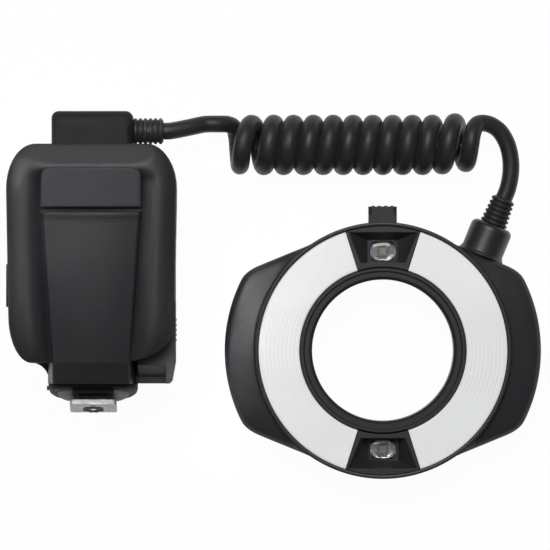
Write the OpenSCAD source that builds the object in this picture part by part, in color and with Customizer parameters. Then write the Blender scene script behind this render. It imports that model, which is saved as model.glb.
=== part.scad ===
// Macro ring flash lying on its back: control unit, curly cord and ring head.
// Millimetres. X runs from the unit to the ring, Y from the shoe towards the cord, Z up off the table.

/* [Layout] */
// Middle of the control unit along X
unit_x = -72.7; // [-90:0.1:-60]
// Top edge of the control unit's shells along Y
unit_top = 60.2; // [50:0.1:70]
// Middle of the ring head along X
ring_x = 43.6; // [40:0.1:60]
// Middle of the ring head along Y
ring_y = -22.2; // [-30:0.1:-10]

/* [Control unit shells] */
// Width of the shells
body_w = 68.2; // [64:0.1:72]
// Height of the shells without the foot
body_h = 87.2; // [84:0.1:92]
// Share of the width lost from the top to the bottom
body_taper = 0.045; // [0:0.005:0.06]
// Depth of the rear shell
rear_depth = 30; // [28:0.1:36]
// Depth of the front shell
front_depth = 26; // [22:0.1:32]
// Depth of the front shell's straight part
front_straight = 18; // [8:0.1:19]
// Wall of the rear shell
rear_wall = 2.6; // [2:0.1:3.2]
// Wall of the front shell, with room for its rounding
front_wall = 4.4; // [3.5:0.1:6]
// Roof of the front shell over its cavity
front_roof = 8.5; // [7:0.1:10]
// Floor of the rear shell round the control panel
rear_floor = 4.4; // [4:0.1:6]
// Width of the rounded flanks seen from the front
side_round = 9.6; // [6:0.1:12]
// Width of the sloped top seen from the front
top_round = 9.4; // [6:0.1:12]
// Width of the rounded bottom seen from the front
bottom_round = 10; // [6:0.1:14]
// Width of the rounding at the table
rear_round = 3; // [1:0.1:4]
// Height of the rounding at the table
rear_round_h = 4; // [2:0.1:6]
// Upper corners across
upper_corner_w = 12; // [6:0.1:14]
// Upper corners down
upper_corner_h = 18.5; // [12:0.1:26]
// Lower left corner across
lower_left_w = 9.5; // [6:0.1:14]
// Lower left corner down
lower_left_h = 18; // [6:0.1:26]
// Lower right corner across
lower_right_w = 26; // [8:0.1:28]
// Lower right corner down
lower_right_h = 13; // [6:0.1:14]
// Drop of the foot block below the shells
block_drop = 8.3; // [6:0.1:10]
// Width of the foot block
block_w = 35.4; // [32:0.1:40]
// Hollow fillet between the foot block and the shell
block_fillet = 7.4; // [3:0.1:9]
// Height of the foot block's underside edge above the table
block_low = 3; // [2:0.1:5]

/* [Front panel] */
// Width of the upper plate
plate_w = 40; // [34:0.1:42]
// Height of the upper plate
plate_h = 15.9; // [12:0.1:20]
// Upper corners of the plate
plate_corner = 3.6; // [1:0.1:6]
// Groove between the plate and the panel
plate_groove = 1.5; // [0.5:0.1:3]
// Width of the panel at its upper end
panel_top_w = 39.2; // [34:0.1:42]
// Width of the panel at its lower end
panel_bottom_w = 31.2; // [26:0.1:36]
// Height of the panel
panel_h = 59; // [50:0.1:60]
// Rise of the panel above the flanks
panel_rise = 1.2; // [0.4:0.1:3]
// Fall of the panel's surface towards its lower end
panel_fall = 2.4; // [0:0.1:5]
// Rounded edges of the panel
panel_edge = 1.4; // [0.5:0.1:2]
// Crown in the middle of the panel
panel_crown = 0.6; // [0:0.1:1.5]
// Flare of the panel's sides
panel_flare = 1; // [0.2:0.1:2]
// Depth of the valley beside the panel
valley_depth = 4; // [2:0.1:6]
// Width of the valley's sloped side
valley_w = 3.4; // [1:0.1:5]
// Clearance between the panel and its seat
panel_gap = 0.2; // [0.1:0.05:0.4]
// Fall of the chin below the panel
chin_fall = 10; // [6:0.1:14]

/* [Batteries] */
// Diameter of a cell
cell_d = 14.5; // [10.5:0.1:14.5]
// Length of a cell
cell_l = 50.5; // [44.5:0.1:50.5]
// Number of cells
cell_count = 4; // [2:1:4]
// Clearance round a cell
cell_clear = 0.4; // [0.2:0.1:0.6]
// Wall of the holder
holder_wall = 1.5; // [1:0.1:2]
// Room for the contacts behind the cells
contact_room = 1.6; // [1.2:0.1:2]
// Thickness of the contacts
contact_t = 0.8; // [0.4:0.1:1]
// Lower side of the holder above the shell's cavity
holder_lift = 0.4; // [0.2:0.1:1]
// Thickness of the door
door_t = 1.6; // [1.2:0.1:2]
// Clearance round the door
door_gap = 0.4; // [0.3:0.05:0.6]
// Slide of the door along its pin
door_slide = 4; // [2:0.1:5]
// Radius of the door's hinge pin
door_pin_r = 1; // [0.8:0.05:1.1]
// Radius of the door's knuckles
knuckle_r = 1.7; // [1.5:0.05:1.9]
// Running clearance of pins
pin_clear = 0.05; // [0.03:0.01:0.1]
// Length of the lugs that carry the pin
lug_l = 4.5; // [4:0.1:5]
// Finger ribs on the door
door_ribs = 5; // [3:1:7]

/* [Control panel] */
// Width of the control panel
control_w = 50; // [48:0.1:52]
// Height of the control panel
control_h = 72; // [71:0.1:74]
// Corners of the control panel
control_corner = 6; // [3:0.1:8]
// Depth of the panel's face behind the rim
control_recess = 2.4; // [1.8:0.1:2.8]
// Thickness of the flange that holds the panel
control_flange_t = 1; // [0.6:0.1:1.4]
// Width of the flange that holds the panel
control_flange_w = 1.6; // [1:0.1:2]
// Clearance of fixed pieces in their seats
seat_gap = 0.15; // [0.1:0.05:0.3]
// Width of the display window
lcd_w = 44; // [36:0.1:45]
// Height of the display window
lcd_h = 22; // [18:0.1:24]
// Thickness of the display window
lcd_window_t = 1.4; // [1:0.1:1.6]
// Thickness of the display module
lcd_module_t = 2.8; // [2:0.1:3]
// Clearance round moving buttons
button_gap = 0.3; // [0.2:0.05:0.4]
// Stroke of the buttons
button_travel = 0.8; // [0.4:0.1:1]
// Height of the button caps' faces above the table
button_face = 1; // [0.8:0.1:1.4]
// Thickness of the buttons' flanges
button_flange_t = 0.8; // [0.5:0.1:1]
// Width of the buttons' flanges
button_flange_w = 0.9; // [0.6:0.1:1]
// Width of a function button
function_w = 8.6; // [6:0.1:8.8]
// Height of a function button
function_h = 4; // [3:0.1:4.4]
// Spacing of the function buttons
function_pitch = 11.4; // [11.2:0.1:12]
// Radius of the mode button
mode_r = 3; // [2:0.1:3.4]
// Radius of the test button
test_r = 3.4; // [2.4:0.1:3.6]
// Radius of the select dial
dial_r = 12.2; // [10:0.1:12.4]
// Number of grip notches in the dial
dial_notches = 20; // [12:1:28]
// Radius of the set button
set_r = 5.3; // [4:0.1:6]
// Width of the power switch
switch_w = 6; // [5:0.1:7]
// Height of the power switch
switch_h = 3.4; // [3:0.1:3.6]
// Stroke of the power switch to each side
switch_travel = 3.5; // [2:0.1:4]
// Thickness of the circuit boards
board_t = 1.6; // [1:0.1:1.6]
// Radius of the main capacitor
capacitor_r = 8; // [6:0.1:8.2]
// Length of the main capacitor
capacitor_l = 46; // [30:0.1:50]
// Radius of the housing screws' heads
screw_head_r = 2.1; // [1.6:0.1:2.2]
// Radius of the housing screws' shanks
screw_shank_r = 1.1; // [0.8:0.1:1.2]

/* [Connector and strain reliefs] */
// Width of the connector housing
connector_w = 32.6; // [28:0.1:36]
// Height of the connector housing
connector_h = 13.4; // [12:0.1:16]
// Depth of the connector housing
connector_d = 22; // [18:0.1:24]
// Rounding of the connector's front edge
connector_bevel = 4.8; // [2:0.1:6]
// Corners of the connector housing
connector_corner = 2.9; // [1:0.1:3.5]
// Length of the control unit's strain relief
relief_l = 12.1; // [10:0.1:14]
// Largest radius of the control unit's strain relief
relief_r = 5.2; // [4.6:0.05:5.3]
// Number of ribs on a strain relief
relief_ribs = 6; // [4:1:8]
// Depth of the grooves between the ribs
relief_groove = 0.7; // [0.4:0.05:1]
// Length of the ring head's strain relief
ring_relief_l = 11.4; // [10:0.1:12]
// Base radius of the ring head's strain relief
ring_relief_r = 5.5; // [5:0.05:6]
// Tip radius of the ring head's strain relief
ring_relief_tip = 4.6; // [4.2:0.05:5]
// Length of the power socket's cover
socket_cover_l = 16.8; // [14:0.1:18]
// Width of the power socket's cover
socket_cover_w = 12; // [10:0.1:14]
// Thickness of the power socket's cover
socket_cover_t = 1; // [0.8:0.05:1.1]
// Middle of the power socket above the table
socket_z = 18; // [14:0.1:20]

/* [Foot] */
// Tilt of the shoe foot against the back of the unit
foot_tilt = 11; // [0:0.5:14]
// Distance of the foot's middle behind the joint of the shells
foot_back = 5; // [3:0.1:6]
// Half the width of the foot base
base_r = 17.8; // [16:0.1:18]
// Reach of the foot base to the front
base_front = 14; // [12:0.1:16]
// Height of the foot base
base_h = 6.2; // [5.5:0.1:7]
// Height of the foot base's straight part
base_straight = 2.4; // [1.5:0.1:3]
// Rounding of the foot base's lower edge
base_round = 1.6; // [1:0.1:2.5]
// Height at which the skirt starts
skirt_top = 4.4; // [3.6:0.1:4.8]
// Half the width of the tongue that parts the skirt
tongue_half = 8; // [7:0.1:9]
// Reach of the tongue to the back
tongue_back = 10; // [9.6:0.1:10.5]
// Width of the shoe foot
shoe_w = 18.6; // [18.4:0.05:18.6]
// Length of the shoe foot
shoe_l = 18; // [17.5:0.1:18.5]
// Thickness of the shoe foot
shoe_t = 2; // [1.9:0.05:2.05]
// Width of the neck between the rails
neck_w = 12.3; // [12:0.05:12.4]
// Height of the neck
neck_h = 2; // [2:0.05:2.3]
// Radius of the contact block
contact_r = 3.9; // [3.6:0.1:4.1]
// Reach of the contacts behind the shoe's middle
contact_back = 4.6; // [3:0.1:4.8]
// Radius of the middle contact
contact_pin_r = 1.1; // [0.9:0.05:1.2]
// Radius of the side contacts
side_pin_r = 0.6; // [0.5:0.05:0.7]
// Reach of the contacts out of the block
pin_reach = 0.5; // [0.3:0.05:0.6]
// Radius of the lock pin
lock_pin_r = 1; // [0.8:0.05:1.1]
// Thickness of the lock lever
lever_t = 2; // [1.5:0.1:2.4]
// Height of the lock lever
lever_h = 2.2; // [1.8:0.1:2.4]
// Gap between the lever and the foot base
lever_gap = 0.4; // [0.35:0.05:0.6]
// Width of the lock lever as an angle
lever_span = 50; // [40:1:60]
// Radius of the lock release button
lock_button_r = 0.9; // [0.7:0.05:1]

/* [Ring head] */
// Outer radius of the ring
ring_r = 51.4; // [50.5:0.1:53]
// Outer radius of the side ears
ear_r = 63.4; // [61:0.1:66]
// Distance of the ears' straight edges from the middle
ear_edge = 50.2; // [49:0.1:51]
// Slope of the ears' straight edges
ear_slope = 22.2; // [18:0.1:26]
// Blend of the ears' corners
ear_blend = 6; // [2:0.5:10]
// Bevel of the ears
ear_bevel = 1.6; // [0.8:0.1:2.4]
// Height of the ears beside the rim
ear_h = 22.6; // [20.8:0.1:23]
// Height of the ears at their outer edge
ear_low = 19.6; // [18.5:0.1:20.5]
// Height of the rim
rim_h = 25.4; // [24.8:0.1:27]
// Height of the rear cover
ring_split = 12; // [11.8:0.1:12.8]
// Floor of the rear cover
ring_floor = 4.2; // [4:0.1:4.4]
// Floor of the front cover
cover_floor = 2; // [1.5:0.1:2.2]
// Wall round the ring
ring_wall = 1.5; // [1.2:0.1:2]
// Wall of the rear cover
ring_rear_wall = 2.4; // [2:0.1:2.8]
// Bevel at the table
ring_bevel = 1.8; // [1:0.1:2.4]
// Radius of the bore
bore_r = 28.35; // [27:0.05:29]
// Wall of the sleeve round the bore
sleeve_wall = 2.05; // [1.6:0.05:2.3]
// Outer radius of the sleeve's front flange
sleeve_flange_r = 33.2; // [32.6:0.1:33.6]
// Thickness of the sleeve's front flange
sleeve_flange_t = 2.4; // [1.6:0.1:3]
// Height of the lip on the flange
sleeve_lip = 0.7; // [0.3:0.1:1]
// Radius of the seat for the lens adapter
seat_r = 37; // [36:0.1:38]
// Depth of the seat for the lens adapter
seat_depth = 2.2; // [1.8:0.1:2.4]
// Half the angle of the lamp housings
lamp_half = 17.3; // [15:0.1:20]
// Angle between the diffusers and the lamp housings
lamp_gap = 0.3; // [0.2:0.05:0.5]
// Thickness of the diffusers
diffuser_t = 2.2; // [1.6:0.1:2.6]
// Number of ridges on a diffuser
diffuser_ridges = 9; // [5:1:12]
// Height of the ridges on a diffuser
ridge_h = 0.25; // [0.1:0.05:0.5]
// Depth of the diffusers below the rim
diffuser_drop = 0.8; // [0.4:0.1:1.2]
// Wall of the reflectors
reflector_t = 1.2; // [0.8:0.1:1.6]
// Radius of the flash tubes
tube_r = 2.2; // [1.8:0.1:2.4]
// Half the angle of the flash tubes
tube_half = 60; // [50:1:66]
// Width of a lamp lens
lens_w = 10.4; // [9:0.1:11]
// Height of a lamp lens
lens_h = 7.4; // [6.6:0.1:8]
// Place of a lamp lens from the ring's middle
lens_y = 39.6; // [39:0.1:41]
// Depth of the lens below the lamp housing's face
lens_drop = 5.2; // [4:0.1:5.6]
// Thickness of a lamp lens
lens_t = 2.6; // [2:0.1:3]
// Size of the lamp chip
led_size = 2.8; // [2:0.1:3.4]
// Width of the release button
release_w = 11.4; // [10:0.1:12]
// Reach of the release button from the ring's middle
release_reach = 58; // [56.5:0.1:60]
// Stroke of the release button
release_travel = 2.5; // [1.5:0.1:2.8]
// Height of the release button above the rear cover's floor
release_lift = 0.3; // [0.25:0.05:0.4]
// Chamfer of the release button
release_chamfer = 1.2; // [0.5:0.1:1.6]
// Thickness of the latch plate
latch_t = 1.6; // [1.2:0.1:1.8]
// Inner radius of the latch plate
latch_in = 34; // [33.5:0.1:35]
// Outer radius of the latch plate
latch_out = 46; // [45:0.1:46]
// Width of the hook
hook_w = 8; // [6:0.1:10]
// Radius of the cord boss
boss_r = 8.5; // [8:0.1:8.6]
// Length of the cord boss
boss_l = 13.2; // [12:0.1:14]
// Rounding of the cord boss
boss_round = 2.4; // [1:0.1:2.8]
// Place of the cord boss along the ear's edge
boss_along = 22; // [20:0.1:23]
// Height of the cord boss above the table
boss_z = 12; // [11.5:0.1:12.5]
// Radius of the ring screws' shanks
ring_screw_r = 1.1; // [0.8:0.1:1.3]
// Radius of the ring screws' heads
ring_screw_head = 2.2; // [1.8:0.1:2.4]

/* [Cord] */
// Diameter of the cord at its ends
cord_d = 6.7; // [5:0.1:6.9]
// Diameter of the cord in its curls
curl_d = 7.4; // [5:0.1:7.5]
// Mean radius of the curls
curl_r = 8.4; // [7.8:0.1:8.6]
// Spacing of the curls
curl_pitch = 7.95; // [7.9:0.05:8.2]
// Wider spacing after the first curl
first_spread = 2.7; // [0:0.1:3]
// Wider spacing before the last curl
last_spread = 1.5; // [0:0.1:3]
// Number of curls
curl_count = 12; // [8:1:12]

/* [Hidden] */
$fn = 64;

// Colours of the mouldings
black = [0.12, 0.12, 0.13];
charcoal = [0.2, 0.2, 0.21];
grey = [0.36, 0.36, 0.37];
silver = [0.72, 0.72, 0.71];
white = [0.88, 0.89, 0.88];
glassy = [0.5, 0.52, 0.54];
green = [0.1, 0.32, 0.2];
gold = [0.8, 0.66, 0.3];

// A cut runs this far past the face that it opens
over = 0.1;
corner_steps = 8;

// Sides and levels of the control unit
body_left = unit_x - body_w / 2;
body_right = unit_x + body_w / 2;
body_bottom = unit_top - body_h;
block_bottom = body_bottom - block_drop;
crest_z = rear_depth + front_depth;
valley_z = crest_z - valley_depth;
body_radii = [[upper_corner_w, upper_corner_h], [upper_corner_w, upper_corner_h],
    [lower_left_w, lower_left_h], [lower_right_w, lower_right_h]];
plate_top = unit_top - top_round;
slope_low = crest_z - front_straight / 3;
panel_top = plate_top - plate_h - plate_groove;
panel_bottom = panel_top - panel_h;

// Battery bay: the cells lie along X in one column
bay_h = cell_count * (cell_d + cell_clear);
bay_d = cell_d + cell_clear;
side_x = body_right - body_taper * body_w / 4;
door_x = side_x - door_t;
bay_bottom = body_bottom + rear_wall + holder_lift + holder_wall;
bay_top = bay_bottom + bay_h;
control_back = rear_floor + control_flange_t;
board_z = control_back + lcd_module_t + 0.6;
holder_low_z = board_z + board_t + 0.2;
bay_low = holder_low_z + holder_wall;
bay_high = bay_low + bay_d;
holder_top_z = bay_high + holder_wall;
holder_mouth = door_x - contact_t - door_gap;
holder_back = holder_mouth - cell_l - contact_room - holder_wall;
hinge_x = side_x - knuckle_r - door_gap / 2;
hinge_z = rear_depth - knuckle_r - 1.5 * door_gap;
door_low = bay_low - door_gap;
opening_bottom = bay_bottom - door_slide - door_gap;
opening_top = bay_top + door_gap;
pin_bottom = opening_bottom - lug_l / 2;
pin_top = opening_top + lug_l + door_slide - over;

// Levels of the control panel, and places of its pieces from its middle
control_mid = unit_top - control_h / 2 - 6;
flange_z = control_back + 0.2;
lcd_y = control_h * 0.305;
function_y = control_h * 0.0625;
key_y = -control_h * 0.07;
key_x = control_w * 0.37;
dial_y = -control_h * 0.1875;
switch_y = -control_h * 0.43;

// Foot frame: its Y axis is square to the shoe
foot_x = unit_x + 0.5;
foot_z = rear_depth - foot_back;
shoe_y = -base_h - neck_h;
lever_y = -base_straight / 2 - 0.2;
lock_pin_z = 6.6;
lock_pin_top = -(lock_pin_z + lock_pin_r) * tan(foot_tilt) - door_gap;
foot_screw_x = 4.6;
foot_screw_z = 7;
lock_button_reach = 0.9;
lock_button_depth = 2.6;
lock_button_z = -4;

// Levels of the ring head
reflector_z = ring_split + cover_floor;
face_z = rim_h - diffuser_drop;
diffuser_z = face_z - diffuser_t;
lamp_in = sleeve_flange_r + 0.3;
lamp_out = ring_r - ring_wall - 0.15;
sleeve_out = bore_r + sleeve_wall;
lens_z = face_z - lens_drop - lens_t;
latch_z = ring_floor + release_lift;
spring_r = 1.6;
spring_x = 40;
spring_window = 8;
ring_screw_x = 56;
ring_screw_y = 12;

// Sides of the strain relief on the control unit
relief_x = unit_x + connector_w / 2;
relief_y = unit_top + relief_r + 0.2;
relief_z = rear_depth - connector_d / 2;

// Route of the cord from the strain reliefs to the curls
cord_finish = [[86.5, 68.4, 14.4], [90.6, 65.6, 13], [93.6, 60.4, 12.2], [95, 54, 12], [94.9, 48, 12]];
curl_y = 60.2;
curl_z = 12.4;
curl_x = -27.6;
cord_start = [[relief_x + relief_l, relief_y, relief_z], [relief_x + relief_l + cord_d / 2, relief_y, relief_z],
    [curl_x - 4.4, relief_y + 1.9, relief_z - 1.2]];
lead_in_angle = 80;
first_angle = 160;
first_slack = 0.5;
lead_reach = 14.9;
lead_turn = 60;
lead_run = 17;
lead_out_angle = 20;
end_lift = 1;
curl_rings = 8;

// Quarter of an ellipse
function corner(cx, cy, rx, ry, start) =
    [for (i = [0:corner_steps]) let(a = start + 90 * i / corner_steps) [cx + rx * cos(a), cy + ry * sin(a)]];

// Outline between four sides; the radii run anticlockwise from the upper right corner
function outline(left, right, bottom, top, radii) = concat(
    corner(right - radii[0][0], top - radii[0][1], radii[0][0], radii[0][1], 0),
    corner(left + radii[1][0], top - radii[1][1], radii[1][0], radii[1][1], 90),
    corner(left + radii[2][0], bottom + radii[2][1], radii[2][0], radii[2][1], 180),
    corner(right - radii[3][0], bottom + radii[3][1], radii[3][0], radii[3][1], 270));

// Four equal corners
function even(r) = [for (i = [0:3]) [r, r]];

// Outline points as a ring at one height, or standing across Y
function lift(points, z) = [for (p = points) [p[0], p[1], z]];
function stand(points, y) = [for (i = [len(points) - 1:-1:0]) [points[i][0], y, points[i][1]]];

// The shells narrow towards the foot
function taper(points) =
    [for (p = points) [unit_x + (p[0] - unit_x) * (1 - body_taper * (unit_top - p[1]) / body_h), p[1]]];

function body_ring(side, top, bottom, z) = lift(taper(outline(body_left + side, body_right - side,
    body_bottom + bottom, unit_top - top, body_radii)), z);

// Height of the front panel's surface, and half its width, at a place along Y
function panel_share(y) = (panel_top - y) / panel_h;
function panel_z(y) = crest_z + panel_rise - panel_fall * pow(panel_share(y), 2);
function panel_half(y) = (panel_top_w + (panel_bottom_w - panel_top_w) * panel_share(y)) / 2;

// Solid through a stack of rings with equal numbers of points
module loft(rings) {
    n = len(rings[0]);
    last = (len(rings) - 1) * n;
    sides = [for (k = [0:len(rings) - 2], i = [0:n - 1])
        let(a = k * n + i, b = k * n + (i + 1) % n) each [[a, a + n, b + n], [a, b + n, b]]];
    caps = [[for (i = [0:n - 1]) i], [for (i = [n - 1:-1:0]) last + i]];
    polyhedron(points = [for (ring = rings) each ring], faces = concat(caps, sides));
}

// Straight prism with rounded corners about a middle
module pad(w, h, r, z0, z1) {
    translate([0, 0, z0])
        linear_extrude(z1 - z0)
            polygon(outline(-w / 2, w / 2, -h / 2, h / 2, even(r)));
}

module disc(r, z0, z1) {
    translate([0, 0, z0])
        cylinder(h = z1 - z0, r = r);
}

module block(low, high) {
    translate(low)
        cube(high - low);
}

module at_unit(y) {
    translate([unit_x, y, 0])
        children();
}

module at_control(x, y) {
    translate([unit_x + x, control_mid + y, 0])
        children();
}

module in_foot() {
    translate([foot_x, block_bottom, foot_z])
        rotate([-foot_tilt, 0, 0])
            children();
}

// A round piece along the foot's own down direction
module foot_round(r, y0, y1, x, z) {
    translate([x, y0, z])
        rotate([-90, 0, 0])
            cylinder(h = y1 - y0, r = r);
}

module at_ring() {
    translate([ring_x, ring_y, 0])
        children();
}

// Frame on the upper right straight edge of the ears, with Z out of the edge
module at_boss(n) {
    at_ring()
        rotate([0, 0, -ear_slope])
            translate([boss_along, ear_edge + n, boss_z])
                rotate([-90, 0, 0])
                    children();
}

// Front shell with the valley round the panel
front_rings = concat(
    [body_ring(0, 0, 0, rear_depth)],
    [for (a = [0:15:90]) let(f = 1 - cos(a))
        body_ring(f * side_round, f * top_round, f * bottom_round,
            rear_depth + front_straight + (front_depth - front_straight) * sin(a))]);

function channel_ring(y, w, bank, z) =
    [[-w, y, z], [-w - bank, y, crest_z + over], [w + bank, y, crest_z + over], [w, y, z]];
function valley_ring(y, bank) =
    let(w = max(panel_half(y), y > panel_top ? plate_w / 2 : 0) + panel_flare + panel_gap)
    channel_ring(y, w, bank, valley_z);

function chin_ring(y, top) =
    let(w = panel_half(panel_bottom) + panel_flare)
    [[-w - 1, y, rear_depth], [-w, y, rear_depth + (top - rear_depth) * 0.7], [-w + panel_edge, y, top],
        [w - panel_edge, y, top], [w, y, rear_depth + (top - rear_depth) * 0.7], [w + 1, y, rear_depth]];

module chin() {
    end_z = panel_z(panel_bottom);
    drop = panel_bottom - block_bottom;
    at_unit(0)
        loft(concat(
            [for (a = [90:-22.5:0]) chin_ring(panel_bottom - drop * sin(a), end_z - chin_fall * (1 - cos(a)))],
            [chin_ring(panel_bottom + bottom_round, end_z)]));
}

module front_shell() {
    color(charcoal)
        difference() {
            union() {
                loft(front_rings);
                chin();
            }
            translate([0, 0, rear_depth - over])
                linear_extrude(front_depth - front_roof + over)
                    polygon(taper(outline(body_left + front_wall, body_right - front_wall,
                        body_bottom + front_wall, unit_top - front_wall, body_radii)));
            at_unit(0)
                loft([valley_ring(panel_bottom - panel_gap, valley_w), valley_ring(panel_top, valley_w),
                    valley_ring(plate_top - plate_corner * 2, valley_w), valley_ring(plate_top, panel_gap)]);
            at_unit(0)
                loft([channel_ring(plate_top, plate_w / 2, panel_edge, crest_z - panel_gap),
                    channel_ring(unit_top + over, plate_w / 2 + valley_w, top_round, slope_low)]);
        }
}

// Bare upper plate with rounded top corners
module front_plate() {
    square_corner = 0.4;
    color(charcoal)
        translate([unit_x, plate_top - plate_h / 2, valley_z])
            linear_extrude(valley_depth + panel_rise / 2)
                polygon(outline(-plate_w / 2, plate_w / 2, -plate_h / 2, plate_h / 2 - panel_gap,
                    [[plate_corner, plate_corner], [plate_corner, plate_corner],
                        [square_corner, square_corner], [square_corner, square_corner]]));
}

function panel_ring(y, rise) =
    let(w = panel_half(y), z = panel_z(y) + rise)
    [[-w - panel_flare, y, valley_z], [-w, y, z - panel_edge], [-w + panel_edge, y, z], [0, y, z + panel_crown],
        [w - panel_edge, y, z], [w, y, z - panel_edge], [w + panel_flare, y, valley_z]];

// Tapered panel with a raised lip at its upper end
module front_panel() {
    steps = 6;
    lip = 1.2;
    lip_rise = 0.5;
    color(charcoal)
        at_unit(0)
            loft(concat(
                [for (i = [0:steps]) panel_ring(panel_bottom + (panel_h - 2 * lip) * i / steps, 0)],
                [panel_ring(panel_top - lip, lip_rise), panel_ring(panel_top, lip_rise)]));
}

rear_rings = concat(
    [for (a = [90:-30:0]) let(f = 1 - cos(a))
        body_ring(f * rear_round, f * rear_round, f * rear_round, rear_round_h * (1 - sin(a)))],
    [body_ring(0, 0, 0, rear_depth)]);

// Foot block below the shells, with a hollow fillet on the left
module foot_block() {
    left = foot_x - block_w / 2;
    translate([0, 0, block_low])
        linear_extrude(rear_depth - block_low) {
            polygon([[left, block_bottom], [left + block_w, block_bottom], [left + block_w, body_bottom + 2],
                [left, body_bottom + 2]]);
            difference() {
                translate([left - block_fillet, body_bottom - block_fillet])
                    square([block_fillet + over, block_fillet + 2]);
                translate([left - block_fillet, body_bottom - block_fillet])
                    circle(r = block_fillet);
            }
        }
}

// Squarer lower right part at the battery side
module battery_block() {
    corner_r = 1.6;
    lean = 1.2;
    cap_t = front_straight * 2 / 3;
    cap_top = rear_depth + cap_t;
    top = bay_bottom + bay_h / 3;
    left = foot_x + base_r + door_gap / 4;
    edge = opening_bottom - lug_l / 4;
    ledge = 2.7;
    ledge_z = rear_depth + cap_t / 6;
    area = concat([[foot_x, block_bottom]],
        corner(side_x - lean - corner_r, block_bottom + corner_r, corner_r, corner_r, 270),
        [[side_x, opening_bottom], [side_x, top], [foot_x, top]]);
    difference() {
        union() {
            translate([0, 0, block_low])
                linear_extrude(rear_depth - block_low)
                    polygon(area);
            translate([0, 0, rear_depth - over])
                linear_extrude(cap_t + over)
                    difference() {
                        intersection() {
                            polygon(area);
                            translate([left, block_bottom])
                                square([side_x - left, top - block_bottom]);
                        }
                        polygon(taper(outline(body_left - seat_gap, body_right + seat_gap,
                            body_bottom - seat_gap, unit_top, body_radii)));
                    }
        }
        translate([left - over, 0, 0])
            rotate([90, 0, 90])
                linear_extrude(hinge_x - knuckle_r - left)
                    polygon([[edge, cap_top + over], [edge, cap_top], [block_bottom + ledge, ledge_z],
                        [block_bottom - over, ledge_z], [block_bottom - over, cap_top + over]]);
    }
}

module hinge_lug(y0, y1) {
    block([hinge_x - knuckle_r, y0, hinge_z - knuckle_r], [side_x - door_gap, y1, rear_depth]);
}

module rear_cavity() {
    translate([0, 0, rear_floor])
        linear_extrude(rear_depth)
            polygon(taper(outline(body_left + rear_wall, body_right - rear_wall,
                body_bottom + rear_wall, unit_top - rear_wall, body_radii)));
}

// Places of the screws through the rear shell
screw_x = control_w / 2 + screw_head_r + 1;
screw_places = [for (x = [-screw_x, screw_x], share = [-0.25, 0.28]) [x, share * control_h]];

module rear_shell() {
    color(black)
        difference() {
            union() {
                difference() {
                    union() {
                        loft(rear_rings);
                        foot_block();
                        battery_block();
                    }
                    rear_cavity();
                    block([hinge_x - knuckle_r - door_gap, opening_bottom, door_low - door_gap],
                        [body_right + over, opening_top, rear_depth + over]);
                    block([holder_back - over, bay_bottom - holder_wall - holder_lift, holder_low_z - holder_lift],
                        [side_x - rear_wall + over, bay_top + holder_wall + holder_lift, rear_depth + over]);
                }
                hinge_lug(opening_top, pin_top + lug_l / 3);
            }
            translate([hinge_x, pin_bottom - door_slide - door_gap, hinge_z])
                rotate([-90, 0, 0])
                    cylinder(h = pin_top - pin_bottom + door_slide + 2 * door_gap, r = door_pin_r + pin_clear);
            at_control(0, 0)
                for (p = [[seat_gap, -over, rear_floor + over],
                    [control_flange_w + seat_gap, rear_floor, control_back + seat_gap]])
                    pad(control_w + 2 * p[0], control_h + 2 * p[0], control_corner, p[1], p[2]);
            for (p = screw_places)
                at_control(p[0], p[1]) {
                    disc(screw_head_r + seat_gap, -over, rear_floor / 2);
                    disc(screw_shank_r + pin_clear, 0, rear_floor + over);
                }
            translate([body_left - over, socket_y - socket_cover_l / 3, socket_z - socket_cover_w / 3])
                cube([rear_wall * 2.5, socket_cover_l * 2 / 3, socket_cover_w * 2 / 3]);
        }
}

// Control panel with its window and the holes for the keys
module control_panel() {
    color(charcoal)
        at_control(0, 0)
            difference() {
                union() {
                    pad(control_w, control_h, control_corner, control_recess, rear_floor);
                    pad(control_w + 2 * control_flange_w, control_h + 2 * control_flange_w, control_corner,
                        rear_floor, control_back);
                }
                translate([0, lcd_y, 0]) {
                    pad(lcd_w + 2 * seat_gap, lcd_h + 2 * seat_gap, 1, 0, control_recess + lcd_window_t);
                    pad(lcd_w - 4, lcd_h - 4, 1, 0, control_back + over);
                }
                for (i = [0:3])
                    translate([function_pitch * (i - 1.5), function_y, 0])
                        pad(function_w + 2 * button_gap, function_h + 2 * button_gap, 1, 0, control_back + over);
                translate([-key_x, key_y, 0])
                    disc(mode_r + button_gap, 0, control_back + over);
                translate([key_x, key_y, 0])
                    disc(test_r + button_gap, 0, control_back + over);
                translate([0, dial_y, 0])
                    disc(dial_r + button_gap, 0, control_back + over);
                translate([0, switch_y, 0])
                    pad(switch_w + 2 * (switch_travel + button_gap), switch_h + 2 * button_gap, 1,
                        0, control_back + over);
            }
}

module lcd_window() {
    color(glassy)
        at_control(0, lcd_y)
            pad(lcd_w, lcd_h, 1, control_recess - 0.3, control_recess + lcd_window_t);
}

module lcd_module() {
    border = 2;
    color(grey)
        at_control(0, lcd_y)
            pad(lcd_w + border, lcd_h + border, 1, control_back, control_back + lcd_module_t);
}

// Button with a bevelled cap and a flange behind the panel
module square_button(w, h) {
    bevel = 0.5;
    pad(w - bevel, h - bevel, 1, button_face, button_face + bevel);
    pad(w, h, 1, button_face + bevel, flange_z);
    pad(w + 2 * button_flange_w, h + 2 * button_flange_w, 1, flange_z, flange_z + button_flange_t);
}

module round_button(r, z0, z1) {
    bevel = 0.5;
    rotate_extrude()
        polygon([[0, z0], [r - bevel, z0], [r, z0 + bevel], [r, z1], [r + button_flange_w, z1],
            [r + button_flange_w, z1 + button_flange_t], [0, z1 + button_flange_t]]);
}

module function_button(i) {
    color(grey)
        at_control(function_pitch * (i - 2.5), function_y)
            square_button(function_w, function_h);
}

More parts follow.
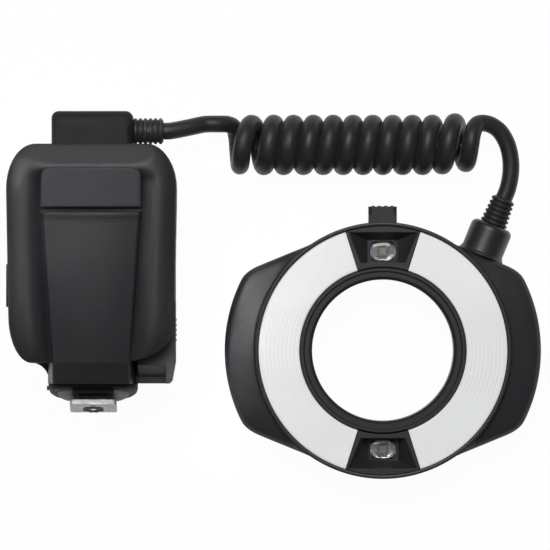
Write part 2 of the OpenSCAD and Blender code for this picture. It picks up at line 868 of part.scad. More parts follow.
module mode_button() {
    color(grey)
        at_control(-key_x, key_y)
            round_button(mode_r, button_face, flange_z);
}

module test_button() {
    color([0.6, 0.2, 0.15])
        at_control(key_x, key_y)
            round_button(test_r, button_face, flange_z);
}

// Dial with grip notches round its edge
module select_dial() {
    notch_r = 0.6;
    notch_h = 1;
    color(black)
        at_control(0, dial_y)
            difference() {
                round_button(dial_r, button_face, flange_z);
                disc(set_r + button_gap, 0, flange_z + 2);
                for (i = [1:dial_notches])
                    rotate([0, 0, 360 * i / dial_notches])
                        translate([dial_r, 0, 0])
                            disc(notch_r, 0, button_face + notch_h);
            }
}

module set_button() {
    dial_back = flange_z + button_flange_t + 0.2;
    color(grey)
        at_control(0, dial_y)
            round_button(set_r, button_face, dial_back);
}

module power_switch() {
    color(grey)
        at_control(0, switch_y) {
            pad(switch_w, switch_h, 1, button_face, flange_z);
            pad(switch_w + 2 * switch_travel + 2, switch_h + 1.2, 1, flange_z, flange_z + button_flange_t);
        }
}

module main_circuit_board() {
    margin = 2;
    color(green)
        at_control(0, 0)
            pad(control_w - margin, control_h - 3 * margin, 2, board_z, board_z + board_t);
}

module main_capacitor() {
    color([0.1, 0.1, 0.2])
        translate([unit_x - 12, bay_bottom + 8, holder_top_z + capacitor_r + 0.1])
            rotate([-90, 0, 0])
                cylinder(h = capacitor_l, r = capacitor_r);
}

// Open-ended holder for the cells
module battery_holder() {
    color(charcoal)
        difference() {
            block([holder_back, bay_bottom - holder_wall, holder_low_z],
                [holder_mouth - door_gap, bay_top + holder_wall, holder_top_z]);
            block([holder_back + holder_wall, bay_bottom, bay_low], [holder_mouth + over, bay_top, bay_high]);
            block([hinge_x - knuckle_r - door_gap, bay_bottom - 2 * holder_wall, hinge_z - knuckle_r - door_gap],
                [holder_mouth + over, bay_top + 2 * holder_wall, holder_top_z + over]);
        }
}

// One contact for each cell at the closed end of the holder
module battery_contacts() {
    spring_l = 0.6;
    color(silver)
        for (i = [0:cell_count - 1])
            translate([holder_back + holder_wall, bay_bottom + (i + 0.5) * bay_d, (bay_low + bay_high) / 2]) {
                translate([0, -bay_d * 0.35, -bay_d * 0.35])
                    cube([contact_t, bay_d * 0.7, bay_d * 0.7]);
                rotate([0, 90, 0])
                    cylinder(h = contact_t + spring_l, r1 = cell_d / 4, r2 = cell_d / 8);
            }
}

// Door with knuckles along the pin and ribs for the finger
module battery_door() {
    knuckle_l = bay_h / 4;
    rib_h = 0.35;
    color(black)
        difference() {
            union() {
                block([door_x, bay_bottom, door_low], [side_x, bay_top, hinge_z]);
                translate([hinge_x, bay_bottom, hinge_z])
                    rotate([-90, 0, 0])
                        cylinder(h = bay_h, r = knuckle_r);
                for (i = [0:door_ribs - 1])
                    block([side_x, bay_bottom + 4 + 2 * i, door_low + 3],
                        [side_x + rib_h, bay_bottom + 5 + 2 * i, door_low + 9]);
            }
            translate([hinge_x, bay_bottom - over, hinge_z])
                rotate([-90, 0, 0])
                    cylinder(h = bay_h + 2 * over, r = door_pin_r + pin_clear);
            translate([hinge_x - knuckle_r - over, bay_bottom + knuckle_l, hinge_z - knuckle_r - over])
                cube([2 * knuckle_r + 2 * over, bay_h - 2 * knuckle_l, 2 * knuckle_r + 2 * over]);
        }
}

module battery_door_pin() {
    color(silver)
        translate([hinge_x, pin_bottom, hinge_z])
            rotate([-90, 0, 0])
                cylinder(h = pin_top - pin_bottom, r = door_pin_r);
}

// Plates on the inside of the door that join the cells in pairs
module door_contacts() {
    margin = 2;
    color(silver)
        for (i = [0:cell_count / 2 - 1])
            block([door_x - contact_t, bay_bottom + 2 * i * bay_d + margin, bay_low + margin],
                [door_x, bay_bottom + 2 * (i + 1) * bay_d - margin, hinge_z - knuckle_r - margin]);
}

// Plug housing on top of the unit, rounded towards the front
module connector_housing() {
    left = unit_x - connector_w / 2;
    right = unit_x + connector_w / 2;
    top = unit_top + connector_h;
    low = relief_z - connector_d / 2;
    front = [for (a = [0:22.5:90]) [connector_bevel * (1 - cos(a)), connector_d - connector_bevel * (1 - sin(a))]];
    rings = [for (p = concat([[1.2, 0], [0, 1.2]], front))
        lift(outline(left + p[0] / 2, right - p[0] / 2, unit_top, top - p[0],
            [[connector_corner, connector_corner], [connector_corner, connector_corner], [0.2, 0.2], [0.2, 0.2]]),
            low + p[1])];
    color(black)
        loft(rings);
}

// Ribbed sleeve round the Z axis, from its base radius to its tip radius
module ribbed(base, tip, length) {
    pitch = length / relief_ribs;
    crest = [for (i = [0:relief_ribs]) base + (tip - base) * i / relief_ribs];
    sides = [for (i = [0:relief_ribs - 1]) each [
        [crest[i] - relief_groove, pitch * i], [crest[i], pitch * (i + 0.25)],
        [crest[i], pitch * (i + 0.65)], [crest[i] - relief_groove, pitch * (i + 0.85)]]];
    rotate_extrude()
        polygon(concat([[0, 0]], sides, [[tip - relief_groove, length], [0, length]]));
}

module control_strain_relief() {
    color(black)
        translate([relief_x, relief_y, relief_z])
            rotate([0, 90, 0])
                ribbed(relief_r, relief_r, relief_l);
}

// Socket for an outside power pack in the left wall
socket_y = unit_top - 56.6;
socket_x = body_left + body_taper * body_w / 2 * (unit_top - socket_y) / body_h;

module power_socket() {
    depth = 8;
    recess = 2.5;
    pin_r = 0.6;
    half_l = socket_cover_l / 3 - seat_gap;
    half_w = socket_cover_w / 3 - seat_gap;
    color(black)
        translate([socket_x + 0.3, socket_y, socket_z]) {
            difference() {
                block([0, -half_l, -half_w], [depth, half_l, half_w]);
                block([-over, 1.2 - half_l, 1.2 - half_w], [recess, half_l - 1.2, half_w - 1.2]);
            }
            for (y = [-2, 0, 2])
                translate([recess / 3, y, 0])
                    rotate([0, 90, 0])
                        cylinder(h = recess, r = pin_r);
        }
}

module power_socket_cover() {
    corner_r = 2;
    barrel_l = socket_cover_w - 2 * corner_r;
    color(black)
        translate([socket_x - door_gap - socket_cover_t, socket_y, socket_z]) {
            rotate([90, 0, 90])
                pad(socket_cover_l, socket_cover_w, corner_r, 0, socket_cover_t);
            translate([socket_cover_t / 2, socket_cover_l / 2, -barrel_l / 2])
                cylinder(h = barrel_l, r = socket_cover_t / 2);
        }
}

// Outline of the foot base, drawn in by f
function base_ring(y, f) =
    let(r = base_r - f)
    stand(outline(-r, r, -r, base_front - f, [[6, 6], [6, 6], [r, r], [r, r]]), y);

// Foot base with the tongue and ribbed neck that carry the shoe
module foot_base() {
    rib_w = 0.8;
    rib_d = 0.5;
    above = 6;
    color(black)
        difference() {
            in_foot()
                difference() {
                    union() {
                        loft([base_ring(-skirt_top, base_round), base_ring(-skirt_top * 0.8, base_round / 4),
                            base_ring(-base_straight, 0), base_ring(above, 0)]);
                        block([-tongue_half, -base_h, -tongue_back], [tongue_half, 0, base_front - base_round]);
                        block([-neck_w / 2, shoe_y, -shoe_l / 2], [neck_w / 2, 0, shoe_l / 2 - rib_d]);
                        for (x = [-neck_w / 2:2 * rib_w:neck_w / 2 - rib_w])
                            block([x, shoe_y, 0], [x + rib_w, 0, shoe_l / 2]);
                    }
                    foot_round(lock_pin_r + pin_clear, shoe_y - over, over, 0, lock_pin_z);
                    for (x = [-foot_screw_x, foot_screw_x])
                        foot_round(screw_shank_r * 0.8 + pin_clear, shoe_y - over, -base_h + 2, x, foot_screw_z);
                    translate([-base_r - over, -base_straight / 2, lock_button_z])
                        rotate([0, 90, 0])
                            cylinder(h = lock_button_depth + over, r = lock_button_r + pin_clear);
                }
            block([foot_x - 2 * base_r, block_bottom, -base_r], [foot_x + 2 * base_r, unit_top, 4 * base_r]);
        }
}

// Horseshoe skirt, open to the front
module weather_skirt() {
    steps = 5;
    inset = 3.6;
    round = 3.4;
    seat = seat_gap / 2;
    color(grey)
        in_foot()
            difference() {
                loft([for (i = [0:steps]) let(s = 1 - i / steps)
                    base_ring(-skirt_top - (base_h - skirt_top - seat) * s,
                        inset + round * (1 - sqrt(1 - s * s)))]);
                block([-tongue_half - seat_gap, -base_h - over, -tongue_back - seat_gap],
                    [tongue_half + seat_gap, 0, base_front + over]);
            }
}

// Standard accessory shoe foot
module shoe_foot() {
    lead_in = 1.4;
    color(silver)
        in_foot()
            difference() {
                translate([0, shoe_y - shoe_t, 0])
                    rotate([-90, 0, 0])
                        linear_extrude(shoe_t)
                            polygon(outline(-shoe_w / 2, shoe_w / 2, -shoe_l / 2, shoe_l / 2, even(lead_in)));
                contact_area(contact_r + seat_gap, shoe_y - shoe_t - over, shoe_y + over);
                foot_round(lock_pin_r + pin_clear, shoe_y - shoe_t - over, shoe_y + over, 0, lock_pin_z);
                for (x = [-foot_screw_x, foot_screw_x], head = [[0.8, shoe_t + over], [1.3, 0.7]])
                    foot_round(screw_shank_r * head[0] + pin_clear, shoe_y - shoe_t - over,
                        shoe_y - shoe_t + head[1], x, foot_screw_z);
            }
}

contact_places = [for (a = [200:140 / 3:341]) [2.8 * cos(a), 2.8 * sin(a) - contact_back]];

module contact_area(r, y0, y1) {
    translate([0, y0, 0])
        rotate([-90, 0, 0])
            linear_extrude(y1 - y0)
                polygon(outline(-r, r, -r, contact_back + r, even(r)));
}

module contact_block() {
    proud = 0.15;
    color(black)
        in_foot()
            difference() {
                contact_area(contact_r, shoe_y - shoe_t - proud, shoe_y);
                foot_round(contact_pin_r + pin_clear, shoe_y - 2 * shoe_t, shoe_y + over, 0, 0);
                for (p = contact_places)
                    foot_round(side_pin_r + pin_clear, shoe_y - 2 * shoe_t, shoe_y + over, p[0], p[1]);
            }
}

module contact_pins() {
    color(gold)
        in_foot() {
            foot_round(contact_pin_r, shoe_y - shoe_t - pin_reach, shoe_y, 0, 0);
            for (p = contact_places)
                foot_round(side_pin_r, shoe_y - shoe_t - pin_reach, shoe_y, p[0], p[1]);
        }
}

module lock_pin() {
    color(silver)
        in_foot()
            foot_round(lock_pin_r, shoe_y - shoe_t + 0.2, lock_pin_top, 0, lock_pin_z);
}

// Curved lever that swings round the back of the foot base
module lock_lever() {
    tab = 3;
    in_r = base_r + lever_gap;
    color(black)
        in_foot()
            translate([0, lever_y - lever_h / 2, 0])
                rotate([-90, 0, 0])
                    rotate([0, 0, 90 - lever_span / 2]) {
                        rotate_extrude(angle = lever_span)
                            translate([in_r, 0])
                                square([lever_t, lever_h]);
                        rotate_extrude(angle = lever_span / 4)
                            translate([in_r, 0])
                                square([tab, lever_h]);
                    }
}

module lock_release_button() {
    color(grey)
        in_foot()
            translate([-base_r - lock_button_reach, -base_straight / 2, lock_button_z])
                rotate([0, 90, 0])
                    cylinder(h = lock_button_reach + lock_button_depth - 0.9, r = lock_button_r);
}

module foot_screws() {
    color(silver)
        in_foot()
            for (x = [-foot_screw_x, foot_screw_x]) {
                foot_round(screw_shank_r * 1.3, shoe_y - shoe_t + 0.05, shoe_y - shoe_t + 0.7, x, foot_screw_z);
                foot_round(screw_shank_r * 0.8, shoe_y - shoe_t + 0.7, -base_h + 1.9, x, foot_screw_z);
            }
}

module housing_screws() {
    color(silver)
        for (p = screw_places)
            at_control(p[0], p[1]) {
                disc(screw_head_r, 0.6, rear_floor / 2);
                disc(screw_shank_r, rear_floor / 2, rear_floor + 2);
            }
}

// Outline of the two ears, one quarter and its mirror images; inside the ring it hides under the round wall
function smooth_min(a, b, k) = let(h = min(1, max(0, 0.5 + (b - a) / k / 2))) b + (a - b) * h - k * h * (1 - h);
ear_turn = 90 - ear_slope - acos(ear_edge / (ear_r - ear_blend));
ear_steps = 12;
ear_angles = concat([for (i = [0:ear_steps]) ear_turn * i / ear_steps], [90 - ear_slope]);
function ear_radius(a) = smooth_min(ear_r, ear_edge / cos(90 - ear_slope - a), ear_blend);
function ear_corner(inset, z, most, mx, my) = [for (a = ear_angles) let(r = min(ear_radius(a) - inset, most))
    [mx * r * cos(a), my * r * sin(a), z]];
function turned(points) = [for (i = [len(points) - 1:-1:1]) points[i]];
function ear_ring(inset, z, most = ear_r) = concat(ear_corner(inset, z, most, 1, 1),
    turned(ear_corner(inset, z, most, -1, 1)), ear_corner(inset, z, most, -1, -1),
    turned(ear_corner(inset, z, most, 1, -1)));

// Rear cover with the pocket for the latch and the seat for the lens adapter
module ring_rear_cover() {
    slot_w = release_w + 2 * button_gap;
    hook_slot = hook_w + 2 * button_gap;
    post_r = spring_r;
    color(black)
        at_ring() {
            difference() {
                union() {
                    loft([ear_ring(ring_bevel, 0), ear_ring(0, ring_bevel), ear_ring(0, ring_split)]);
                    rotate_extrude()
                        polygon([[sleeve_out + seat_gap, 0], [ring_r - ring_bevel, 0], [ring_r, ring_bevel],
                            [ring_r, ring_split], [sleeve_out + seat_gap, ring_split]]);
                }
                disc(sleeve_out + seat_gap, -over, ring_split + over);
                disc(seat_r, -over, seat_depth);
                disc(ring_r - ring_rear_wall, ring_floor, ring_split + over);
                block([-slot_w / 2, latch_out - release_travel - 1, ring_floor],
                    [slot_w / 2, release_reach, ring_split + over]);
                block([-hook_slot / 2, -seat_r - release_travel - 0.6, -over],
                    [hook_slot / 2, -latch_in + 1, ring_floor + over]);
                for (x = [-ring_screw_x, ring_screw_x], y = [-ring_screw_y, ring_screw_y])
                    translate([x, y, 0]) {
                        disc(ring_screw_r + pin_clear, -over, ring_split + over);
                        disc(ring_screw_head + seat_gap, -over, 2.6);
                    }
            }
            for (x = [-spring_x, spring_x])
                translate([x, -spring_window + post_r + 0.4, 0])
                    disc(post_r, ring_floor, latch_z + latch_t + 1);
        }
}

// Front cover: ears, round wall and the floor that carries the lamps
module ring_front_cover() {
    groove = 0.5;
    color(charcoal)
        at_ring()
            difference() {
                union() {
                    loft([ear_ring(0, ring_split), ear_ring(0, ear_low - ear_bevel), ear_ring(ear_bevel, ear_low),
                        ear_ring(1.2 * ear_bevel, ear_h, ring_r - ring_wall / 2)]);
                    rotate_extrude()
                        polygon([[sleeve_out + seat_gap, ring_split], [ring_r, ring_split],
                            [ring_r, rim_h - groove], [ring_r - groove, rim_h], [ring_r - ring_wall, rim_h],
                            [ring_r - ring_wall, ring_split + cover_floor],
                            [sleeve_out + seat_gap, ring_split + cover_floor]]);
                }
                disc(sleeve_out + seat_gap, 0, rim_h);
                disc(ring_r - ring_wall, ring_split + cover_floor, rim_h + over);
                for (x = [-ring_screw_x, ring_screw_x], y = [-ring_screw_y, ring_screw_y])
                    translate([x, y, 0])
                        disc(ring_screw_r + pin_clear, 0, ring_split + 4);
            }
}

// Sleeve round the bore with a stepped front flange
module inner_sleeve() {
    step = 1.2;
    lip_w = 0.9;
    low = face_z - sleeve_flange_t;
    color(black)
        at_ring()
            rotate_extrude()
                polygon([[bore_r, 0], [sleeve_out, 0], [sleeve_out, low], [sleeve_flange_r, low],
                    [sleeve_flange_r, face_z], [sleeve_flange_r - lip_w / 2, face_z + sleeve_lip],
                    [sleeve_flange_r - 1.5 * lip_w, face_z + sleeve_lip], [sleeve_flange_r - 2 * lip_w, face_z],
                    [bore_r + step, face_z], [bore_r, face_z - step]]);
}

// Part of a ring between the two lamp housings, on the right or turned to the left
module ring_arc(half, turn) {
    at_ring()
        rotate([0, 0, turn - half])
            rotate_extrude(angle = 2 * half)
                children();
}

diffuser_half = 90 - lamp_half - lamp_gap;

module diffuser(turn) {
    width = lamp_out - lamp_in;
    pitch = width / diffuser_ridges;
    color(white)
        ring_arc(diffuser_half, turn)
            polygon(concat([[lamp_out, diffuser_z], [lamp_out, face_z - ridge_h]],
                [for (i = [diffuser_ridges - 1:-1:0]) [lamp_in + (i + 0.5) * pitch, face_z - (i % 2) * ridge_h]],
                [[lamp_in, face_z - ridge_h], [lamp_in, diffuser_z]]));
}

module reflector(turn) {
    low = reflector_z;
    t = reflector_t;
    color(silver)
        ring_arc(diffuser_half, turn)
            polygon([[lamp_in, low], [lamp_out, low], [lamp_out, diffuser_z], [lamp_out - t, diffuser_z],
                [lamp_out - 3 * t, low + t], [lamp_in + 3 * t, low + t], [lamp_in + t, diffuser_z],
                [lamp_in, diffuser_z]]);
}

module flash_tube(turn) {
    color(glassy)
        ring_arc(tube_half, turn)
            translate([(lamp_in + lamp_out) / 2, reflector_z + reflector_t + tube_r + 0.1])
                circle(r = tube_r, $fn = 32);
}

// Lamp housing with a funnel round its lens, at the top or turned to the bottom
module lamp_housing(turn) {
    rim = 0.9;
    out_half = lamp_out * sin(lamp_half) - rim;
    in_half = lamp_in * sin(lamp_half) - rim;
    lens_floor = face_z - lens_drop;
    top = lamp_out - 2.4;
    bottom = lamp_in + 1.6;
    mouth = [[-in_half, bottom], [in_half, bottom], [out_half, top], [-out_half, top]];
    throat = [[-lens_w / 2 - 1, lens_y - lens_h / 2 - 1], [lens_w / 2 + 1, lens_y - lens_h / 2 - 1],
        [lens_w / 2 + 1, lens_y + lens_h / 2 + 1], [-lens_w / 2 - 1, lens_y + lens_h / 2 + 1]];
    color(black)
        at_ring()
            rotate([0, 0, turn])
                difference() {
                    rotate([0, 0, 90 - lamp_half])
                        rotate_extrude(angle = 2 * lamp_half)
                            polygon([[lamp_in, reflector_z], [lamp_out, reflector_z], [lamp_out, face_z],
                                [lamp_in, face_z]]);
                    loft([lift(throat, lens_floor), lift(mouth, face_z + over)]);
                    translate([0, lens_y, lens_z - 1.4])
                        linear_extrude(lens_drop + lens_t)
                            lens_shape(seat_gap);
                }
}

// Barrel shape: flat above and below, bowed at the sides
module lens_shape(gap) {
    intersection() {
        circle(r = lens_w / 2 + gap);
        square([lens_w + 2 * gap, lens_h + 2 * gap], center = true);
    }
}

module lamp_lens(turn) {
    dome_r = lens_w;
    color(glassy)
        at_ring()
            rotate([0, 0, turn])
                translate([0, lens_y, lens_z])
                    intersection() {
                        linear_extrude(lens_t)
                            lens_shape(0);
                        translate([0, 0, lens_t - dome_r])
                            sphere(r = dome_r);
                    }
}

module lamp_leds() {
    chip_t = 1;
    color(gold)
        at_ring()
            for (turn = [0, 180])
                rotate([0, 0, turn])
                    translate([-led_size / 2, lens_y - led_size / 2, lens_z - 1.4])
                        cube([led_size, led_size, chip_t]);
}

// Button on top of the ring with grip ridges at its end
module release_button() {
    ridges = 4;
    ridge_w = release_w / (2 * ridges + 1);
    low = latch_z + latch_t;
    high = ring_split - release_lift;
    neck = ring_r + release_travel + 0.4;
    foot = latch_out + 0.4;
    color(black)
        at_ring() {
            block([-release_w / 2, foot, low], [release_w / 2, neck, high]);
            translate([0, neck, 0])
                rotate([-90, 0, 0])
                    linear_extrude(release_reach - neck - 0.3)
                        polygon([[-release_w / 2, -latch_z], [release_w / 2, -latch_z],
                            [release_w / 2, release_chamfer - high], [release_w / 2 - release_chamfer, -high],
                            [release_chamfer - release_w / 2, -high], [-release_w / 2, release_chamfer - high]]);
            for (i = [0:ridges - 1])
                block([-release_w / 2 + (2 * i + 1) * ridge_w, release_reach - 0.4, latch_z],
                    [-release_w / 2 + (2 * i + 2) * ridge_w, release_reach, high - release_chamfer]);
        }
}

// Sliding plate round the bore with its tab, spring windows and lens hook
module latch_plate() {
    tab_w = release_w - 3;
    hook_t = 2.4;
    nose = 2;
    nose_z = 1;
    color(silver)
        at_ring()
            difference() {
                union() {
                    disc(latch_out, latch_z, latch_z + latch_t);
                    block([-tab_w / 2, latch_in, latch_z], [tab_w / 2, ring_r, latch_z + latch_t]);
                    block([-hook_w / 2, -latch_in - hook_t - 0.5, nose_z],
                        [hook_w / 2, -latch_in - 0.5, latch_z + over]);
                    block([-hook_w / 2, -latch_in - 1, nose_z], [hook_w / 2, nose - latch_in, nose_z + 0.9]);
                }
                disc(latch_in, latch_z - over, ring_split);
                for (x = [-spring_x, spring_x])
                    block([x - 2 * spring_r, -spring_window, latch_z - over],
                        [x + 2 * spring_r, spring_window, ring_split]);
            }
}

// Two springs between the posts of the rear cover and the latch plate
module latch_springs() {
    wall = 0.5;
    post_top = -spring_window + 2 * spring_r + 0.4;
    color(silver)
        at_ring()
            for (x = [-spring_x, spring_x])
                translate([x, post_top + 0.1, latch_z + latch_t / 2 + 0.7])
                    rotate([-90, 0, 0])
                        difference() {
                            cylinder(h = spring_window - post_top - 0.2, r = spring_r);
                            translate([0, 0, -over])
                                cylinder(h = 2 * spring_window, r = spring_r - wall);
                        }
}

// Arc-shaped board under the front cover's floor
module ring_circuit_board() {
    half = 50;
    margin = 2;
    color(green)
        ring_arc(half, 270)
            translate([sleeve_out + margin, ring_split - board_t - 0.2])
                square([latch_out - sleeve_out - margin, board_t]);
}

module ring_screws() {
    color(silver)
        at_ring()
            for (x = [-ring_screw_x, ring_screw_x], y = [-ring_screw_y, ring_screw_y])
                translate([x, y, 0]) {
                    disc(ring_screw_head, 1, 2.6);
                    disc(ring_screw_r, 2.6, ring_split + 3.8);
                }
}

// Round boss on the ear's edge, flared at its base and rounded at its end
module cord_boss() {
    flare = 1;
    color(black)
        at_boss(0)
            rotate_extrude()
                polygon(concat([[0, 0], [boss_r + flare, 0], [boss_r, 2 * flare]],
                    [for (a = [0:15:90]) [boss_r - boss_round * (1 - cos(a)), boss_l - boss_round * (1 - sin(a))]],
                    [[0, boss_l]]));
}

module ring_strain_relief() {
    color(black)
        at_boss(boss_l)
            ribbed(ring_relief_r, ring_relief_tip, ring_relief_l);
}

// Tip of the ring head's strain relief, and the way out of it
edge_out = [sin(ear_slope), cos(ear_slope), 0];
edge_along = [cos(ear_slope), -sin(ear_slope), 0];
cord_end = [ring_x, ring_y, boss_z] + edge_out * (ear_edge + boss_l + ring_relief_l) + edge_along * boss_along;

// Middle of the curls at an angle; the ends ease into the straight runs
lead_ease = (1 - curl_pitch * 2 * lead_turn / 360 / lead_run) / 2;
curl_start = curl_x + lead_reach;
last_angle = lead_out_angle + 360 * curl_count;
function ease(t) = (1 - cos(180 * min(1, max(0, t)))) / 2;
function curl_point(x, angle) =
    let(lift = end_lift * ease((angle - last_angle + 720) / 720))
    [x, curl_y + lift + curl_r * sin(angle), curl_z + curl_r * cos(angle)];
function curl_along(angle) = curl_start + curl_pitch * (angle - 360) / 360 * (angle < 360 ? first_slack : 1)
    + first_spread * ease((angle - 330) / 200) + last_spread * ease((angle - last_angle + 480) / 300);
function lead_in(w) = let(turn = first_angle - lead_in_angle, d = curl_along(first_angle) - curl_x,
    s = curl_pitch * first_slack * 2 * turn / 360)
    curl_point(curl_x + (2 * d - s) * w - (d - s) * w * w, lead_in_angle + turn * w * w);
function lead_out(w) = let(v = 1 - w)
    curl_point(curl_along(last_angle) + lead_run * (1 - lead_ease) - lead_run * (v - lead_ease * v * v),
        last_angle + lead_turn * (1 - v * v));
function curl_line(steps) = concat(
    [for (w = [0:0.25:0.75]) lead_in(w)],
    [for (i = [0:steps]) let(a = first_angle + (last_angle - first_angle) * i / steps)
        curl_point(curl_along(a), a)],
    [for (w = [0.25:0.25:0.5]) lead_out(w)]);
curl_steps = ceil((last_angle - first_angle) / 360 * curl_rings);
cord_line = concat(cord_start, curl_line(curl_steps), cord_finish, [cord_end + edge_out * 4, cord_end]);
curl_first = len(cord_start);
curl_last = len(cord_line) - len(cord_finish) - 3;

// The cord is a little thicker in its curls
function cord_radius(i) = (i >= curl_first + 2 && i <= curl_last - 2 ? curl_d : cord_d) / 2;
function unit_vector(v) = v / norm(v);
function way(line, i) = unit_vector(
    i == 0 ? line[1] - line[0] : i == len(line) - 1 ? line[i] - line[i - 1]
    : unit_vector(line[i + 1] - line[i]) + unit_vector(line[i] - line[i - 1]));
function square_to(v, t) = unit_vector(v - t * (v * t));

// Cross-sections along a line, each turned as little as possible from the last
function tube_rings(line, sides) =
    let(frames = [for (i = 0, n = square_to([0, 0, 1], way(line, 0)); i < len(line);
        i = i + 1, n = i < len(line) ? square_to(n, way(line, i)) : n) n])
    [for (i = [0:len(line) - 1]) let(n = frames[i], b = cross(way(line, i), n), r = cord_radius(i))
        [for (k = [0:sides - 1]) line[i] + r * (n * cos(360 * k / sides) + b * sin(360 * k / sides))]];

// Least gap between curls, from points of the middle line more than half a turn apart
fine_line = curl_line(24 * curl_count);
least_reach = min([for (i = [0:len(fine_line) - 1], j = [i + 14:len(fine_line) - 1])
    norm(fine_line[i] - fine_line[j])]);
echo(least_gap = least_reach - curl_d);

module curly_cord() {
    sides = 6;
    color(black)
        loft(tube_rings(cord_line, sides));
}

front_shell();
front_plate();
front_panel();
rear_shell();
control_panel();
lcd_window();
lcd_module();
function_button(1);  // function_button_1
function_button(2);  // function_button_2
function_button(3);  // function_button_3
function_button(4);  // function_button_4
mode_button();
test_button();
select_dial();
set_button();
power_switch();
main_circuit_board();
main_capacitor();
battery_holder();
battery_contacts();
battery_door();
battery_door_pin();
door_contacts();
connector_housing();
control_strain_relief();
power_socket();
power_socket_cover();
foot_base();
weather_skirt();
shoe_foot();
contact_block();
contact_pins();
lock_pin();
lock_lever();
lock_release_button();
foot_screws();
housing_screws();
curly_cord();
ring_rear_cover();
ring_front_cover();
inner_sleeve();
diffuser(180);  // left_diffuser
diffuser(0);  // right_diffuser
reflector(180);  // left_reflector
reflector(0);  // right_reflector
flash_tube(180);  // left_flash_tube
flash_tube(0);  // right_flash_tube
lamp_housing(0);  // upper_lamp_housing
lamp_housing(180);  // lower_lamp_housing
lamp_lens(0);  // upper_lamp_lens
lamp_lens(180);  // lower_lamp_lens
lamp_leds();
release_button();
latch_plate();
latch_springs();
ring_circuit_board();
ring_screws();
cord_boss();
ring_strain_relief();
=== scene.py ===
import math

import bpy
import numpy as np
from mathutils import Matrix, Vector


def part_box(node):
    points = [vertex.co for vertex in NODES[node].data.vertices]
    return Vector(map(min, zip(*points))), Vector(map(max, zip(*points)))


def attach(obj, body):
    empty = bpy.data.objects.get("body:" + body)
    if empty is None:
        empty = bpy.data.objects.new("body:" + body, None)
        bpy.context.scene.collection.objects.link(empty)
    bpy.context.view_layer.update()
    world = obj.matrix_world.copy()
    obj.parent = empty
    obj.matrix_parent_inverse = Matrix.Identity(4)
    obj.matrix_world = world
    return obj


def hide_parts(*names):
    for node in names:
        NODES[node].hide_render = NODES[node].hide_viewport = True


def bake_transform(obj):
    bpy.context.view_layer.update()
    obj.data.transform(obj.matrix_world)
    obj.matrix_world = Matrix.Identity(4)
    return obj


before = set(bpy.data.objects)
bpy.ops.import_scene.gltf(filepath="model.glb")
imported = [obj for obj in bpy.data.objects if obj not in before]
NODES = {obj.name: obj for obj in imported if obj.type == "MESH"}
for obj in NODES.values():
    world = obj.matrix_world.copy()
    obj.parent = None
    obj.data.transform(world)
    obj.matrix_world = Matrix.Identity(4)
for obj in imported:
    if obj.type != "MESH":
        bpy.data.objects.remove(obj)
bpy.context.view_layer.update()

MM = 0.001
ROUND = 360.0
scene = bpy.context.scene

# Sizes of the object, in millimetres, in the frame of the CAD model
UNIT_X, UNIT_TOP = -72.7, 60.2
BODY_W, BODY_H, BODY_TAPER = 68.2, 87.2, 0.045
BODY_BOTTOM, BLOCK_BOTTOM = -27.0, -35.3
BODY_CORNERS = ((12.0, 18.5), (12.0, 18.5), (9.5, 18.0), (26.0, 13.0))
REAR_DEPTH, FRONT_STRAIGHT, CREST_Z, VALLEY_Z = 30.0, 18.0, 56.0, 52.6
SIDE_ROUND, TOP_ROUND, BOTTOM_ROUND = 9.6, 9.4, 10.0
PLATE_HALF, PLATE_TOP, PLATE_BOTTOM, PLATE_CORNER = 20.0, 50.6, 34.9, 3.6
PANEL_TOP, PANEL_BOTTOM, PANEL_TOP_HALF, PANEL_BOTTOM_HALF = 33.4, -25.6, 19.6, 15.6
PANEL_RISE, PANEL_FALL, PANEL_EDGE, PANEL_FLARE = 1.2, 2.4, 1.4, 1.0
CHANNEL_RISE, PANEL_SEAT = 0.4, 0.6
RING_X, RING_Y = 43.6, -22.2
RING_R, RIM_H, RING_SPLIT, RING_WALL, SLEEVE_R, COVER_FLOOR = 51.4, 25.4, 12.0, 1.5, 30.45, 2.0
EAR_R, EAR_EDGE, EAR_SLOPE, EAR_BLEND = 63.4, 50.2, 22.2, 3.4

# Camera straight above, at the photograph's scale and place

VIEW_CENTRE = (0.4, 8.0)
VIEW_WIDTH = 220.0
VIEW_PLANE = 25.0
VIEW_DISTANCE = 4000.0


def make_camera():
    """Long lens, so that the view is nearly parallel, as the photograph's is."""
    data = bpy.data.cameras.new("camera")
    data.sensor_width = 36.0
    data.lens = data.sensor_width * VIEW_DISTANCE / VIEW_WIDTH
    data.clip_start, data.clip_end = 0.1, 20.0
    camera = bpy.data.objects.new("camera", data)
    camera.location = (VIEW_CENTRE[0] * MM, VIEW_CENTRE[1] * MM, (VIEW_PLANE + VIEW_DISTANCE) * MM)
    scene.collection.objects.link(camera)
    scene.camera = camera


make_camera()


# Small tools

def srgb(r, g, b):
    """Linear colour, with alpha, from the eight-bit values seen on a screen."""
    def linear(v):
        v /= 255.0
        return v / 12.92 if v <= 0.04045 else ((v + 0.055) / 1.055) ** 2.4
    return (linear(r), linear(g), linear(b), 1.0)


def ease(t):
    """Smooth step from 0 to 1."""
    t = min(max(t, 0.0), 1.0)
    return (1.0 - math.cos(math.pi * t)) / 2.0


def mesh_piece(name, points, faces, material, smooth=True):
    """Mesh object from points in millimetres."""
    mesh = bpy.data.meshes.new(name)
    mesh.from_pydata([tuple(c * MM for c in p) for p in points], [], faces)
    mesh.validate()
    mesh.polygons.foreach_set("use_smooth", [smooth] * len(mesh.polygons))
    piece = bpy.data.objects.new(name, mesh)
    scene.collection.objects.link(piece)
    mesh.materials.append(material)
    return piece


